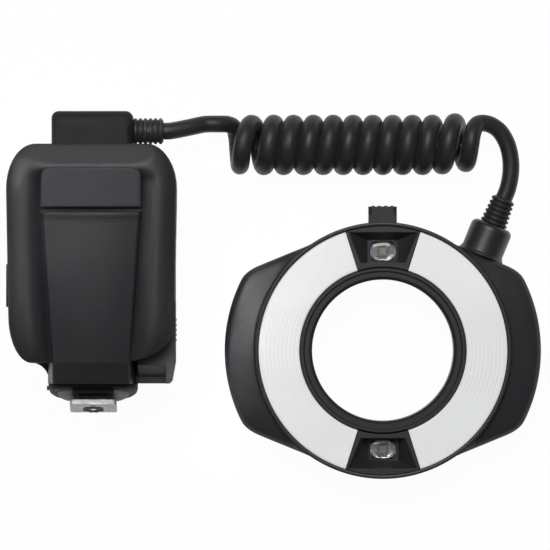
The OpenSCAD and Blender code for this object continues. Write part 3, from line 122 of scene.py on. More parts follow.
def skin(name, rings, material, loop=False):
    """Mesh through rings of equally many points; the ends are closed, or joined to each other."""
    crease = 50.0
    count = len(rings[0])
    points = [p for ring in rings for p in ring]
    faces = []
    for i in range(len(rings) if loop else len(rings) - 1):
        a, b = i * count, (i + 1) % len(rings) * count
        for k in range(count):
            j = (k + 1) % count
            faces.append((a + k, a + j, b + j, b + k))
    if not loop:
        faces.append(tuple(range(count))[::-1])
        faces.append(tuple((len(rings) - 1) * count + k for k in range(count)))
    piece = mesh_piece(name, points, faces, material)
    piece.data.set_sharp_from_angle(angle=math.radians(crease))
    return piece


def stand_in(piece, body, slot, *nodes):
    """The piece rides on a body, in place of CAD nodes."""
    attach(piece, body)
    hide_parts(*nodes)


def tube(name, path, radii, sides, material):
    """Closed tube round a path; the section turns as little as it can from point to point."""
    rings = []
    path = [Vector(p) for p in path]
    last = len(path) - 1
    tangents = [(path[min(i + 1, last)] - path[max(i - 1, 0)]).normalized() for i in range(len(path))]
    normal = tangents[0].orthogonal().normalized()
    for i, centre in enumerate(path):
        normal = (normal - tangents[i] * normal.dot(tangents[i])).normalized()
        side = tangents[i].cross(normal)
        turns = [2.0 * math.pi * k / sides for k in range(sides)]
        rings.append([centre + (normal * math.cos(a) + side * math.sin(a)) * radii[i] for a in turns])
    return skin(name, rings, material)


# Materials: all have a fine bump; colour varies in all but the clear ones, gloss in all but the frosted ones

MIX_FIRST, MIX_SECOND, MIX_RESULT = 6, 7, 2  # colour sockets of a Mix node


class Shader:
    """One material under construction."""

    def __init__(self, name):
        self.material = bpy.data.materials.new(name)
        self.material.use_nodes = True
        self.tree = self.material.node_tree
        self.bsdf = self.tree.nodes["Principled BSDF"]
        self.coords = self.tree.nodes.new("ShaderNodeTexCoord").outputs["Object"]

    def node(self, kind, **values):
        """New node, with values for its properties or its inputs."""
        made = self.tree.nodes.new(kind)
        for key, value in values.items():
            if hasattr(made, key):
                setattr(made, key, value)
            else:
                made.inputs[key.replace("_", " ")].default_value = value
        return made

    def link(self, a, b):
        """Link from an output to an input."""
        self.tree.links.new(a, b)

    def noise(self, scale, detail=3.0, stretch=None):
        """Noise with a number of grains per metre, stretched where that is given."""
        made = self.node("ShaderNodeTexNoise", Scale=scale, Detail=detail)
        source = self.coords
        if stretch:
            mapping = self.node("ShaderNodeMapping")
            mapping.inputs["Scale"].default_value = stretch
            self.link(source, mapping.inputs["Vector"])
            source = mapping.outputs["Vector"]
        self.link(source, made.inputs["Vector"])
        return made.outputs["Fac"]

    def ranged(self, source, low, high, source_low=0.3, source_high=0.7):
        """Value taken from the source's range to low and high."""
        made = self.node("ShaderNodeMapRange")
        made.inputs["From Min"].default_value = source_low
        made.inputs["From Max"].default_value = source_high
        made.inputs["To Min"].default_value = low
        made.inputs["To Max"].default_value = high
        self.link(source, made.inputs["Value"])
        return made.outputs["Result"]

    def mixed(self, factor, first, second):
        """Mix of two colours, each a value or an output."""
        made = self.node("ShaderNodeMix", data_type="RGBA")
        self.link(factor, made.inputs["Factor"])
        for socket, value in ((made.inputs[MIX_FIRST], first), (made.inputs[MIX_SECOND], second)):
            if isinstance(value, tuple):
                socket.default_value = value
            else:
                self.link(value, socket)
        return made.outputs[MIX_RESULT]

    def edges(self):
        """1 along the outer edges of the piece, 0 elsewhere."""
        flat, sharp = 0.53, 0.62
        geometry = self.node("ShaderNodeNewGeometry")
        return self.ranged(geometry.outputs["Pointiness"], 0.0, 1.0, flat, sharp)

    def bump(self, heights, edge=0.0):
        """Chained bumps: each height is (socket, strength, depth in mm).

        edge is the rounding of sharp edges, in mm.
        """
        normal = None
        if edge:
            rounded = self.node("ShaderNodeBevel", samples=4)
            rounded.inputs["Radius"].default_value = edge * MM
            normal = rounded.outputs["Normal"]
        for height, strength, depth in heights:
            made = self.node("ShaderNodeBump")
            made.inputs["Strength"].default_value = strength
            made.inputs["Distance"].default_value = depth * MM
            self.link(height, made.inputs["Height"])
            if normal:
                self.link(normal, made.inputs["Normal"])
            normal = made.outputs["Normal"]
        self.link(normal, self.bsdf.inputs["Normal"])


def scaled(colour, factor):
    """Lighter or darker colour."""
    return tuple(min(1.0, c * factor) for c in colour[:3]) + (1.0,)


def plastic(name, colour, rough, grain=2600.0, depth=0.03, wear=1.25, edge=0.35, specular=0.3):
    """Moulded plastic with a fine eroded grain and slightly polished edges."""
    clouds, gloss, dents, darkest, lightest = 45.0, 160.0, 300.0, 0.93, 1.07
    s = Shader(name)
    fine = s.noise(grain, 2.0)
    cloud = s.noise(clouds, 4.0)
    base = s.mixed(s.ranged(cloud, 0.0, 1.0), scaled(colour, darkest), scaled(colour, lightest))
    worn = s.mixed(s.edges(), base, scaled(colour, wear))
    s.link(worn, s.bsdf.inputs["Base Color"])
    s.link(s.ranged(s.noise(gloss, 5.0), rough - 0.04, rough + 0.05), s.bsdf.inputs["Roughness"])
    s.bsdf.inputs["Specular IOR Level"].default_value = specular
    s.bump([(fine, 0.5, depth), (s.noise(dents, 2.0), 0.12, depth * 2.0)], edge)
    return s.material


def rubber(name, colour, rough, specular=0.35):
    """Soft moulded rubber: dull, with a faint dusty bloom."""
    specks, gloss, grain, dents, dusty, uneven, sheen, edge = 220.0, 90.0, 1500.0, 130.0, 1.35, 0.06, 0.05, 0.25
    s = Shader(name)
    dust = s.noise(specks, 6.0)
    base = s.mixed(s.ranged(dust, 0.0, 1.0, 0.45, 0.75), colour, scaled(colour, dusty))
    s.link(base, s.bsdf.inputs["Base Color"])
    s.link(s.ranged(s.noise(gloss, 4.0), rough - uneven, rough + uneven), s.bsdf.inputs["Roughness"])
    s.bsdf.inputs["Specular IOR Level"].default_value = specular
    s.bsdf.inputs["Sheen Weight"].default_value = sheen
    s.bump([(s.noise(grain, 3.0), 0.4, 0.02), (s.noise(dents, 3.0), 0.15, 0.08)], edge)
    return s.material


NO_BRUSHING = (1.0, 1.0, 1.0)


def metal(name, colour, rough, stretch=NO_BRUSHING, edge=0.25):
    """Brushed or turned metal; stretch gives the way of the brushing."""
    scratches, stains, stained = 900.0, 120.0, 0.88
    s = Shader(name)
    lines = s.noise(scratches, 3.0, stretch)
    stain = s.noise(stains, 5.0)
    base = s.mixed(s.ranged(stain, 0.0, 1.0), scaled(colour, stained), colour)
    s.link(base, s.bsdf.inputs["Base Color"])
    s.bsdf.inputs["Metallic"].default_value = 1.0
    s.link(s.ranged(lines, rough - 0.08, rough + 0.1), s.bsdf.inputs["Roughness"])
    s.bump([(lines, 0.25, 0.02)], edge)
    return s.material


def ridge_height(s):
    """Height of fine ridges round the ring's axis, strongest at its left and right: 0 to 1."""
    pitch, reach = 1.6, 26.0
    offset = s.node("ShaderNodeVectorMath", operation="SUBTRACT")
    s.link(s.coords, offset.inputs[0])
    offset.inputs[1].default_value = (RING_X * MM, RING_Y * MM, 0.0)
    split = s.node("ShaderNodeSeparateXYZ")
    s.link(offset.outputs[0], split.inputs[0])
    flat = s.node("ShaderNodeCombineXYZ")
    s.link(split.outputs["X"], flat.inputs["X"])
    s.link(split.outputs["Y"], flat.inputs["Y"])
    radius = s.node("ShaderNodeVectorMath", operation="LENGTH")
    s.link(flat.outputs[0], radius.inputs[0])
    wave = s.node("ShaderNodeMath", operation="MULTIPLY")
    s.link(radius.outputs["Value"], wave.inputs[0])
    wave.inputs[1].default_value = 2.0 * math.pi / (pitch * MM)
    sine = s.node("ShaderNodeMath", operation="SINE")
    s.link(wave.outputs[0], sine.inputs[0])
    side = s.node("ShaderNodeMath", operation="ABSOLUTE")
    s.link(split.outputs["Y"], side.inputs[0])
    strong = s.ranged(side.outputs[0], 1.0, 0.0, reach / 2.0 * MM, reach * MM)
    ridges = s.node("ShaderNodeMath", operation="MULTIPLY")
    s.link(s.ranged(sine.outputs[0], 0.0, 1.0, -1.0, 1.0), ridges.inputs[0])
    s.link(strong, ridges.inputs[1])
    return ridges.outputs[0]


def frosted(name, colour, ridged=False):
    """Milky diffuser plastic that lets light in."""
    clouds, grain, darkest, in_ridges, rough, milk, edge = 60.0, 2200.0, 0.97, 0.93, 0.5, 0.25, 0.2
    s = Shader(name)
    base = s.mixed(s.ranged(s.noise(clouds, 3.0), 0.0, 1.0), scaled(colour, darkest), colour)
    heights = [(s.noise(grain, 2.0), 0.3, 0.02)]
    if ridged:
        ridges = ridge_height(s)
        base = s.mixed(ridges, base, scaled(colour, in_ridges))
        heights.append((ridges, 0.5, 0.12))
    s.link(base, s.bsdf.inputs["Base Color"])
    s.bsdf.inputs["Roughness"].default_value = rough
    s.bsdf.inputs["Subsurface Weight"].default_value = milk
    s.bsdf.inputs["Subsurface Radius"].default_value = (0.0012, 0.0012, 0.0011)
    s.bsdf.inputs["Subsurface Scale"].default_value = 1.0
    s.bump(heights, edge)
    return s.material


def glass(name, colour, rough, transmission):
    """Clear or tinted moulded window."""
    index, smears, waves, uneven = 1.49, 400.0, 250.0, 0.05
    s = Shader(name)
    s.bsdf.inputs["Base Color"].default_value = colour
    s.bsdf.inputs["Transmission Weight"].default_value = transmission
    s.bsdf.inputs["IOR"].default_value = index
    s.link(s.ranged(s.noise(smears, 4.0), rough, rough + uneven), s.bsdf.inputs["Roughness"])
    s.bump([(s.noise(waves, 2.0), 0.1, 0.02)])
    return s.material


SHELL = plastic("charcoal_shell", srgb(33, 33, 36), 0.46, specular=0.32)
PLATE = plastic("charcoal_plate", srgb(35, 34, 40), 0.46, grain=3200.0, specular=0.3)
EAR = plastic("charcoal_ear", srgb(36, 36, 39), 0.42, specular=0.38)
BLACK = plastic("black_housing", srgb(34, 34, 36), 0.48)
# Rear shell and battery door: the shell's charcoal plastic painted lighter, as painted light on the battery
# block's faces that lie in the front shell's shadow
REAR_PAINTED_LIGHT = plastic("charcoal_rear_painted_light", srgb(56, 56, 59), 0.54, specular=0.3)
PLUG = plastic("black_plug", srgb(28, 28, 30), 0.58, specular=0.16)
INNER = plastic("black_inner", srgb(36, 36, 38), 0.42, depth=0.015, wear=1.3)
BOSS = plastic("black_boss", srgb(32, 32, 34), 0.36, specular=0.5)
KEYS = plastic("grey_keys", srgb(92, 93, 97), 0.5, wear=1.2)
TEST_KEY = plastic("amber_key", srgb(168, 72, 36), 0.42, wear=1.2)
CORD = rubber("cord_jacket", srgb(29, 29, 31), 0.46)
RELIEF = rubber("relief_rubber", srgb(30, 30, 32), 0.5)
SKIRT = rubber("skirt_rubber", srgb(134, 134, 138), 0.6)
STEEL = metal("brushed_steel", (0.5, 0.5, 0.51, 1.0), 0.6, (1.0, 1.0, 0.04))
BRIGHT = metal("bright_metal", (0.78, 0.78, 0.78, 1.0), 0.12)
CONTACT = metal("contact_metal", (0.72, 0.62, 0.42, 1.0), 0.25)
WHITE = frosted("diffuser_white", srgb(243, 245, 244), ridged=True)
LENS = glass("lens_clear", srgb(222, 225, 226), 0.06, 0.88)
BOWL = metal("lamp_bowl", (0.72, 0.72, 0.73, 1.0), 0.3)
WINDOW = glass("display_window", (0.75, 0.8, 0.78, 1.0), 0.04, 0.9)
LAMP = plastic("lamp_phosphor", srgb(176, 180, 120), 0.35, grain=1500.0, wear=1.1)
BOARD = plastic("board_green", srgb(28, 74, 44), 0.4, grain=900.0, wear=1.2)
CAN = plastic("capacitor_sleeve", srgb(24, 26, 58), 0.3, grain=600.0, wear=1.2)
LCD = plastic("display_glass", srgb(128, 140, 122), 0.3, grain=1200.0, wear=1.05)
TUBE = frosted("flash_glass", srgb(226, 222, 200))


# Curly cord: the same route as the CAD cord, in millimetres, with a fuller section in the curls

CURL_Y, CURL_Z, CURL_R = 60.2, 12.4, 8.4
CURL_X, CURL_PITCH, LEAD_REACH = -27.6, 7.95, 14.9
LEAD_IN, LEAD_TURN, LEAD_RUN = 80.0, 60.0, 17.0
FIRST_ANGLE, LAST_ANGLE, FIRST_SLACK = 160.0, 4340.0, 0.5
FIRST_SPREAD, FIRST_SPREAD_FROM, FIRST_SPREAD_TURN = 2.7, 330.0, 200.0
LAST_SPREAD, LAST_SPREAD_BACK, LAST_SPREAD_TURN = 1.5, 480.0, 300.0
END_LIFT, LIFT_TURN = 1.0, 720.0
CORD_D, CURL_D, END_STRAIGHT = 6.8, 7.7, 4.0
LEAD_EASE = (1.0 - CURL_PITCH * 2.0 * LEAD_TURN / ROUND / LEAD_RUN) / 2.0
EDGE_OUT = Vector((math.sin(math.radians(EAR_SLOPE)), math.cos(math.radians(EAR_SLOPE)), 0.0))
CORD_START = [(-44.3, 65.6, 19.0), (-41.2, 65.75, 18.75), (-36.6, 66.6, 17.5), (-32.0, 67.6, 15.7)]
CORD_END = Vector((92.23, 38.74, 12.0))
CORD_FINISH = [(86.5, 68.4, 14.4), (90.6, 65.6, 13.0), (93.6, 60.4, 12.2), (95.0, 54.0, 12.0),
               (94.9, 48.0, 12.0),
               tuple(CORD_END + EDGE_OUT * END_STRAIGHT), tuple(CORD_END)]


def on_curl(x, angle):
    """Point of the curl at an angle, in degrees; the last turns lift a little."""
    a = math.radians(angle)
    lift = END_LIFT * ease((angle - LAST_ANGLE + LIFT_TURN) / LIFT_TURN)
    return (x, CURL_Y + lift + CURL_R * math.sin(a), CURL_Z + CURL_R * math.cos(a))


def curl_place(angle):
    """Place of the curl along X at an angle; the first and the last turns stand wider."""
    slack = FIRST_SLACK if angle < ROUND else 1.0
    return (CURL_X + LEAD_REACH + CURL_PITCH * slack * (angle - ROUND) / ROUND
            + FIRST_SPREAD * ease((angle - FIRST_SPREAD_FROM) / FIRST_SPREAD_TURN)
            + LAST_SPREAD * ease((angle - LAST_ANGLE + LAST_SPREAD_BACK) / LAST_SPREAD_TURN))


def lead_in_point(w):
    """Point between the straight lead and the first curl, at a share of the way."""
    turn = FIRST_ANGLE - LEAD_IN
    reach = curl_place(FIRST_ANGLE) - CURL_X
    slope = CURL_PITCH * FIRST_SLACK * 2.0 * turn / ROUND
    return on_curl(CURL_X + (2.0 * reach - slope) * w - (reach - slope) * w * w, LEAD_IN + turn * w * w)


def smooth_line(points, steps):
    """Smooth line through points, with a number of steps between each two."""
    points = [Vector(p) for p in points]
    line = []
    for i in range(len(points) - 1):
        p1, p2 = points[i], points[i + 1]
        p0 = points[i - 1] if i else p1 * 2.0 - p2
        p3 = points[i + 2] if i + 2 < len(points) else p2 * 2.0 - p1
        for k in range(steps):
            t = k / steps
            line.append(0.5 * (2.0 * p1 + (p2 - p0) * t + (2.0 * p0 - 5.0 * p1 + 4.0 * p2 - p3) * t * t
                               + (3.0 * p1 - p0 - 3.0 * p2 + p3) * t ** 3))
    line.append(points[-1])
    return line


def make_cord():
    """Cord with its two leads, fixed in one shape between the control unit and the ring head."""
    sides, curl_step, grow, early, lead_steps = 18, 15.0, 40, 10, 4
    first = [lead_in_point(w) for w in (0.0, 0.25, 0.5, 0.75)]
    last = [on_curl(curl_place(LAST_ANGLE) + LEAD_RUN * (1.0 - LEAD_EASE - v + LEAD_EASE * v * v),
                    LAST_ANGLE + LEAD_TURN * (1.0 - v * v)) for v in (0.75, 0.5)]
    count = int(round((LAST_ANGLE - FIRST_ANGLE) / curl_step))
    angles = [FIRST_ANGLE + (LAST_ANGLE - FIRST_ANGLE) * k / count for k in range(count + 1)]
    coil = [on_curl(curl_place(a), a) for a in angles]
    lead_in = smooth_line(CORD_START + first + coil[:1], lead_steps)[:-1]
    lead_out = smooth_line(coil[-1:] + last + CORD_FINISH, lead_steps)[1:]
    path = [Vector(p) for p in lead_in + coil + lead_out]
    radii, weights = [], []
    for i in range(len(path)):
        k = i - len(lead_in)
        full = min(ease((k + early) / grow), ease((count - k + early) / grow))
        radii.append((CORD_D + (CURL_D - CORD_D) * full) / 2.0)
        weights.append(min(max(k / count, 0.0), 1.0))
    piece = tube("curly_cord_jacket", path, radii, sides, CORD)
    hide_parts("curly_cord")
    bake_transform(piece)


make_cord()


# Control unit: smooth skins of the front shell, its bare upper plate, the tapered panel and the chin

def arc(x, y, w, h, start, steps):
    """Quarter of an ellipse round a point."""
    turns = [math.radians(start + 90.0 * k / steps) for k in range(steps + 1)]
    return [(x + w * math.cos(a), y + h * math.sin(a)) for a in turns]


def rounded(left, right, low, high, corners, steps=14, runs=(26, 30, 20, 30)):
    """Closed line of an upright box with four elliptic corners, from the right edge round by the top."""
    places = [(right - corners[0][0], high - corners[0][1]), (left + corners[1][0], high - corners[1][1]),
              (left + corners[2][0], low + corners[2][1]), (right - corners[3][0], low + corners[3][1])]
    arcs = [arc(*places[k], *corners[k], 90.0 * k, steps) for k in range(4)]
    line = []
    for k in range(4):
        a, b = arcs[k][-1], arcs[(k + 1) % 4][0]
        line += arcs[k]
        line += [(a[0] + (b[0] - a[0]) * i / runs[k], a[1] + (b[1] - a[1]) * i / runs[k])
                 for i in range(1, runs[k])]
    return line


def unit_line(side, top, bottom):
    """Outline of the shells, drawn in by these amounts."""
    line = rounded(UNIT_X - BODY_W / 2.0 + side, UNIT_X + BODY_W / 2.0 - side, BODY_BOTTOM + bottom,
                   UNIT_TOP - top, BODY_CORNERS)
    return [(UNIT_X + (x - UNIT_X) * (1.0 - BODY_TAPER * (UNIT_TOP - y) / BODY_H), y) for x, y in line]


def panel_share(y):
    """0 at the panel's upper end, 1 at its lower end."""
    return (PANEL_TOP - y) / (PANEL_TOP - PANEL_BOTTOM)


def panel_half(y):
    """Half of the panel's width."""
    return PANEL_TOP_HALF + (PANEL_BOTTOM_HALF - PANEL_TOP_HALF) * panel_share(y)


def panel_z(y):
    """Height of the panel's middle, which falls towards the chin."""
    low_fall, low_start = 2.4, 0.3
    low = max(panel_share(y) - low_start, 0.0) / (1.0 - low_start)
    return CREST_Z + PANEL_RISE - PANEL_FALL * panel_share(y) ** 2 - low_fall * low ** 2


def front_z(x, y, z):
    """Height of the front shell: a pillow with a channel down its middle, open to a slope at the top."""
    slope_in, slope_w, slope_fall, bank, top_bank, fade = 1.5, 5.5, 4.2, 8.5, 3.0, 5.0
    low_fall = 4.0
    above = ease((y - PLATE_TOP + slope_in) / TOP_ROUND)
    half = PLATE_HALF if y > PANEL_TOP else panel_half(max(y, PANEL_BOTTOM)) + PANEL_FLARE / 2.0
    half += slope_w * above - slope_in * ease((y - PLATE_TOP + slope_in) / slope_in)
    bank += (top_bank - bank) * above
    off = abs(x - UNIT_X) - half
    share = min(max((bank - off) / bank, 0.0), 1.0) ** 2
    if y > PLATE_TOP:
        floor = CREST_Z + CHANNEL_RISE - (y - PLATE_TOP) * slope_fall / TOP_ROUND
    else:
        floor = CREST_Z + CHANNEL_RISE - (CREST_Z - VALLEY_Z + CHANNEL_RISE) * ease((PLATE_TOP - y) / fade)
        floor -= low_fall * max(panel_share(y), 0.0) ** 2
    return z + (min(z, floor) - z) * share


def make_front_shell():
    """Front shell: upright sides, a rounded edge and the pillow inside it."""
    inner_steps, edge_turn, upright, turn, draw_in = 28, 30, 90, 5, 0.9
    start = 1.0 - math.cos(math.radians(edge_turn))
    rings = [[(x, y, REAR_DEPTH) for x, y in unit_line(0.0, 0.0, 0.0)]]
    for a in range(edge_turn, upright + 1, turn):
        f = (1.0 - math.cos(math.radians(a)) - start) / (1.0 - start)
        z = REAR_DEPTH + FRONT_STRAIGHT + (CREST_Z - REAR_DEPTH - FRONT_STRAIGHT) * math.sin(math.radians(a))
        rings.append([(x, y, front_z(x, y, z))
                      for x, y in unit_line(f * SIDE_ROUND, f * TOP_ROUND, f * BOTTOM_ROUND)])
    middle = (PANEL_TOP + PANEL_BOTTOM) / 2.0
    crest = [p[:2] for p in rings[-1]]
    for k in range(1, inner_steps):
        s = k / inner_steps
        inner = [(UNIT_X + (x - UNIT_X) * (1.0 - s), middle + (y - middle) * (1.0 - draw_in * s))
                 for x, y in crest]
        rings.append([(x, y, front_z(x, y, CREST_Z)) for x, y in inner])
    piece = skin("front_shell_skin", rings, SHELL)
    stand_in(piece, "control_unit", "charcoal_plastic", "front_shell")


def make_plate():
    """Upper plate, slightly crowned, with no mark on it."""
    crown, bevel, bevel_steps, steps = 0.8, 0.45, 3, 14
    low_corner, corner_steps, runs = 0.5, 8, (20, 10, 20, 10)
    corners = ((PLATE_CORNER, PLATE_CORNER),) * 2 + ((low_corner, low_corner),) * 2
    edge = rounded(UNIT_X - PLATE_HALF, UNIT_X + PLATE_HALF, PLATE_BOTTOM, PLATE_TOP, corners,
                   corner_steps, runs)
    middle, tall = (PLATE_TOP + PLATE_BOTTOM) / 2.0, PLATE_TOP - PLATE_BOTTOM

    def face_z(x):
        return CREST_Z + PANEL_RISE / 2.0 - crown * ((x - UNIT_X) / PLATE_HALF) ** 2

    rings = [[(x, y, VALLEY_Z) for x, y in edge], [(x, y, face_z(x) - bevel) for x, y in edge]]
    for k in range(1, bevel_steps + 1):
        a = math.radians(90.0 * k / bevel_steps)
        inset = bevel * (1.0 - math.cos(a))
        ring = [(UNIT_X + (x - UNIT_X) * (1.0 - inset / PLATE_HALF),
                 middle + (y - middle) * (1.0 - 2.0 * inset / tall)) for x, y in edge]
        rings.append([(x, y, face_z(x) - bevel * (1.0 - math.sin(a))) for x, y in ring])
    rim = [p[:2] for p in rings[-1]]
    for k in range(1, steps):
        s = k / steps
        ring = [(UNIT_X + (x - UNIT_X) * (1.0 - s), middle + (y - middle) * (1.0 - s)) for x, y in rim]
        rings.append([(x, y, face_z(x)) for x, y in ring])
    piece = skin("front_plate_skin", rings, PLATE)
    stand_in(piece, "control_unit", "charcoal_plastic", "front_plate")


def make_panel():
    """Tapered panel, crowned across, with a raised lip under the plate and a chin that slopes to the foot."""
    crown, lip, lip_rise, lip_run, lip_steps, steps, columns, edge_steps = 2.2, 1.3, 0.4, 2.4, 6, 44, 24, 5
    fall, chin_steps, chin_bend, chin_flare, foot_depth = 6.0, 14, 3.0, 2.0, 6.0
    slope = fall / (PANEL_BOTTOM - BLOCK_BOTTOM - chin_bend / 2.0)
    places = []
    for k in range(chin_steps, 0, -1):
        v = (PANEL_BOTTOM - BLOCK_BOTTOM) * k / chin_steps
        drop = v * v / (2.0 * chin_bend) if v < chin_bend else v - chin_bend / 2.0
        places.append((PANEL_BOTTOM - v, -slope * drop))
    for k in range(steps + 1):
        y = PANEL_BOTTOM + (PANEL_TOP - lip - PANEL_BOTTOM) * k / steps
        places.append((y, lip_rise * ease((y - PANEL_TOP + lip_run * lip) / lip)))
    for x, z in arc(0.0, 0.0, lip, lip, 0.0, lip_steps)[-2::-1]:
        places.append((PANEL_TOP - lip + x, lip_rise + z - lip))
    rings = []
    for y, rise in places:
        half = panel_half(max(y, PANEL_BOTTOM))
        deep = ease((BODY_BOTTOM + BOTTOM_ROUND - y) / BOTTOM_ROUND)
        sunk = VALLEY_Z - foot_depth * max(panel_share(y), 0.0)
        foot = (half + PANEL_FLARE + (chin_flare - PANEL_FLARE) * deep, sunk + (REAR_DEPTH - sunk) * deep)
        top = panel_z(max(y, PANEL_BOTTOM)) + PANEL_SEAT - crown + rise
        edge = [(half - PANEL_EDGE + x, top - PANEL_EDGE + z)
                for x, z in arc(0.0, 0.0, PANEL_EDGE, PANEL_EDGE, 0.0, edge_steps)]
        inner = half - PANEL_EDGE
        across = [inner * (1.0 - 2.0 * i / columns) for i in range(1, columns)]
        line = ([foot] + edge + [(x, top + crown * (1.0 - (x / inner) ** 2)) for x in across]
                + [(-x, z) for x, z in edge[::-1]] + [(-foot[0], foot[1])])
        rings.append([(UNIT_X + x, y, z) for x, z in line])
    piece = skin("front_panel_skin", rings, SHELL)
    stand_in(piece, "control_unit", "charcoal_plastic", "front_panel")


make_front_shell()
make_plate()
make_panel()


# Ring head: cover with its sloping ears and narrow rim, latch springs, domed lenses and lamp bowls

def ear_radius(turn):
    """Radius of the cover's outline at an angle, in degrees from the ring's right."""
    turn = abs((turn + 90.0) % 180.0 - 90.0)
    if turn > 90.0 - EAR_SLOPE:
        return RING_R
    straight = EAR_EDGE / math.cos(math.radians(90.0 - EAR_SLOPE - turn))
    gap = max(EAR_BLEND - abs(EAR_R - straight), 0.0) / EAR_BLEND
    return max(min(EAR_R, straight) - gap * gap * EAR_BLEND / 4.0, RING_R)


def make_ring_cover():
    """Front cover: chamfered ears that slope outwards, a fine line, the rim and the well for the diffusers."""
    foot_z, edge_z, bevel, line_w, line_d, rim_round, steps = 22.6, 19.6, 2.0, 0.35, 0.9, 0.5, 288
    rim_turn, rim_chamfer = 0.3, 0.2
    chamfer = ((0.0, 1.1), (0.04, 1.0), (0.5, 0.48), (0.9, 0.06), (1.0, 0.0))
    inner = RING_R - RING_WALL
    floor = RING_SPLIT + COVER_FLOOR
    rings = []
    for k in range(steps):
        turn = ROUND * k / steps
        out = ear_radius(turn)
        reach = min((out - RING_R) / (EAR_R - RING_R), 1.0)
        line = min(line_w, out - RING_R)
        top = foot_z - (foot_z - edge_z) * reach
        band = [(out - bevel * r, top - bevel * z) for r, z in chamfer]
        profile = [(out, RING_SPLIT)] + [(max(r, RING_R + line), z) for r, z in band]
        profile += [(max(out - bevel - (out - bevel - RING_R - line) * s, RING_R + line),
                     top + (foot_z - top) * s) for s in (0.33, 0.67, 1.0)]
        profile += [(RING_R + line, foot_z - line_d), (RING_R, foot_z - line_d), (RING_R, RIM_H - rim_round),
                    (RING_R - rim_round * rim_turn, RIM_H - rim_round * rim_turn), (RING_R - rim_round, RIM_H),
                    (inner + rim_chamfer, RIM_H), (inner, RIM_H - rim_chamfer), (inner, floor),
                    (SLEEVE_R, floor), (SLEEVE_R, RING_SPLIT)]
        c, s = math.cos(math.radians(turn)), math.sin(math.radians(turn))
        rings.append([(RING_X + r * c, RING_Y + r * s, z) for r, z in profile])
    piece = skin("ring_front_cover_skin", rings, EAR, loop=True)
    stand_in(piece, "ring_head", "charcoal_plastic", "ring_front_cover")


def make_lens(node):
    """Moulded lens: a rounded window with a low dome."""
    low, high = (Vector(c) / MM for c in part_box(node))
    middle, half = (low + high) / 2.0, (high - low) / 2.0
    steps, power, rise = 48, 2.7, 0.55
    dome = ((1.0, 1.0), (0.97, 0.6), (0.9, 0.35), (0.7, 0.15), (0.4, 0.03), (0.1, 0.0))
    rings = []
    for scale, z in [(1.0, low.z)] + [(wide, high.z - rise * down) for wide, down in dome]:
        ring = []
        for k in range(steps):
            a = 2.0 * math.pi * k / steps
            c, s = math.cos(a), math.sin(a)
            x = math.copysign(abs(c) ** (2.0 / power), c) * half.x * scale
            y = math.copysign(abs(s) ** (2.0 / power), s) * half.y * scale
            ring.append((middle.x + x, middle.y + y, z))
        rings.append(ring)
    piece = skin(node + "_dome", rings, LENS)
    stand_in(piece, "ring_head", "clear", node)


def make_bowl(node):
    """Faceted bright bowl round a focusing lamp, behind its lens."""
    lamp_r, deep, floor, gap, facets, outside, rim = 2.25, 1.35, 0.25, 0.06, 8, 0.95, 0.9
    low, high = (Vector(c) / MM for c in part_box(node))
    middle, half = (low + high) / 2.0, (high - low) / 2.0
    turns = [2.0 * math.pi * (k + 0.5) / facets for k in range(facets)]
    rings = []
    for wide, tall, z in ((half.x * outside, half.y * outside, low.z - deep),
                          (half.x * outside, half.y * outside, low.z - gap),
                          (half.x * rim, half.y * rim, low.z - gap),
                          (lamp_r, lamp_r, low.z - deep + floor), (lamp_r, lamp_r, low.z - deep)):
        rings.append([(middle.x + wide * math.cos(a), middle.y + tall * math.sin(a), z) for a in turns])
    piece = skin(node.replace("lens", "bowl"), rings, BOWL, loop=True)
    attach(piece, "ring_head")


def make_springs():
    """Coil springs, fixed at one length, from the rear cover's posts to the latch plate, which in the real ring
    squeezes them as it moves.
    """
    wire, turns, per_turn, sides, flat = 0.3, 7.0, 20, 8, 0.75
    low, high = (Vector(c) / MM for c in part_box("latch_springs"))
    outer = (high.z - low.z) / 2.0
    length = high.y - low.y - 2.0 * wire
    count = int(turns * per_turn)
    for name, x in (("left_latch_spring", low.x + outer), ("right_latch_spring", high.x - outer)):
        path = []
        for k in range(count + 1):
            turn = turns * k / count
            share = min(max((turn - flat) / (turns - 2.0 * flat), 0.0), 1.0)
            a = 2.0 * math.pi * turn
            path.append((x + (outer - wire) * math.cos(a), low.y + wire + length * share,
                         (low.z + high.z) / 2.0 + (outer - wire) * math.sin(a)))
        piece = tube(name, path, [wire] * len(path), sides, STEEL)
        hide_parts("latch_springs")
        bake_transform(piece)


make_ring_cover()
make_springs()
for lens in ("upper_lamp_lens", "lower_lamp_lens"):
    make_lens(lens)
    make_bowl(lens)


# CAD nodes keep their own shape, and get a material and smooth shading

def soften(mesh, limit=40.0):
    """Smooth shading of a CAD mesh across facets that meet at less than an angle."""
    microns = 1e6
    normals = np.array([p.normal for p in mesh.polygons])
    areas = np.array([p.area for p in mesh.polygons])
    keys = {}
    groups = {}
    corners = []
    for polygon in mesh.polygons:
        for v in polygon.vertices:
            place = tuple(round(c * microns) for c in mesh.vertices[v].co)
            key = keys.setdefault(place, len(keys))
            groups.setdefault(key, set()).add(polygon.index)
            corners.append((key, polygon.index))
    least = math.cos(math.radians(limit))
    found = {}
    for key, faces in groups.items():
        faces = np.array(sorted(faces))
        near = normals[faces] @ normals[faces].T >= least
        sums = near @ (normals[faces] * areas[faces, None])
        for face, total in zip(faces, sums):
            size = np.linalg.norm(total)
            found[key, face] = tuple(total / size) if size > 0.0 else tuple(normals[face])
    mesh.polygons.foreach_set("use_smooth", [True] * len(mesh.polygons))
    mesh.normals_split_custom_set([found[c] for c in corners])


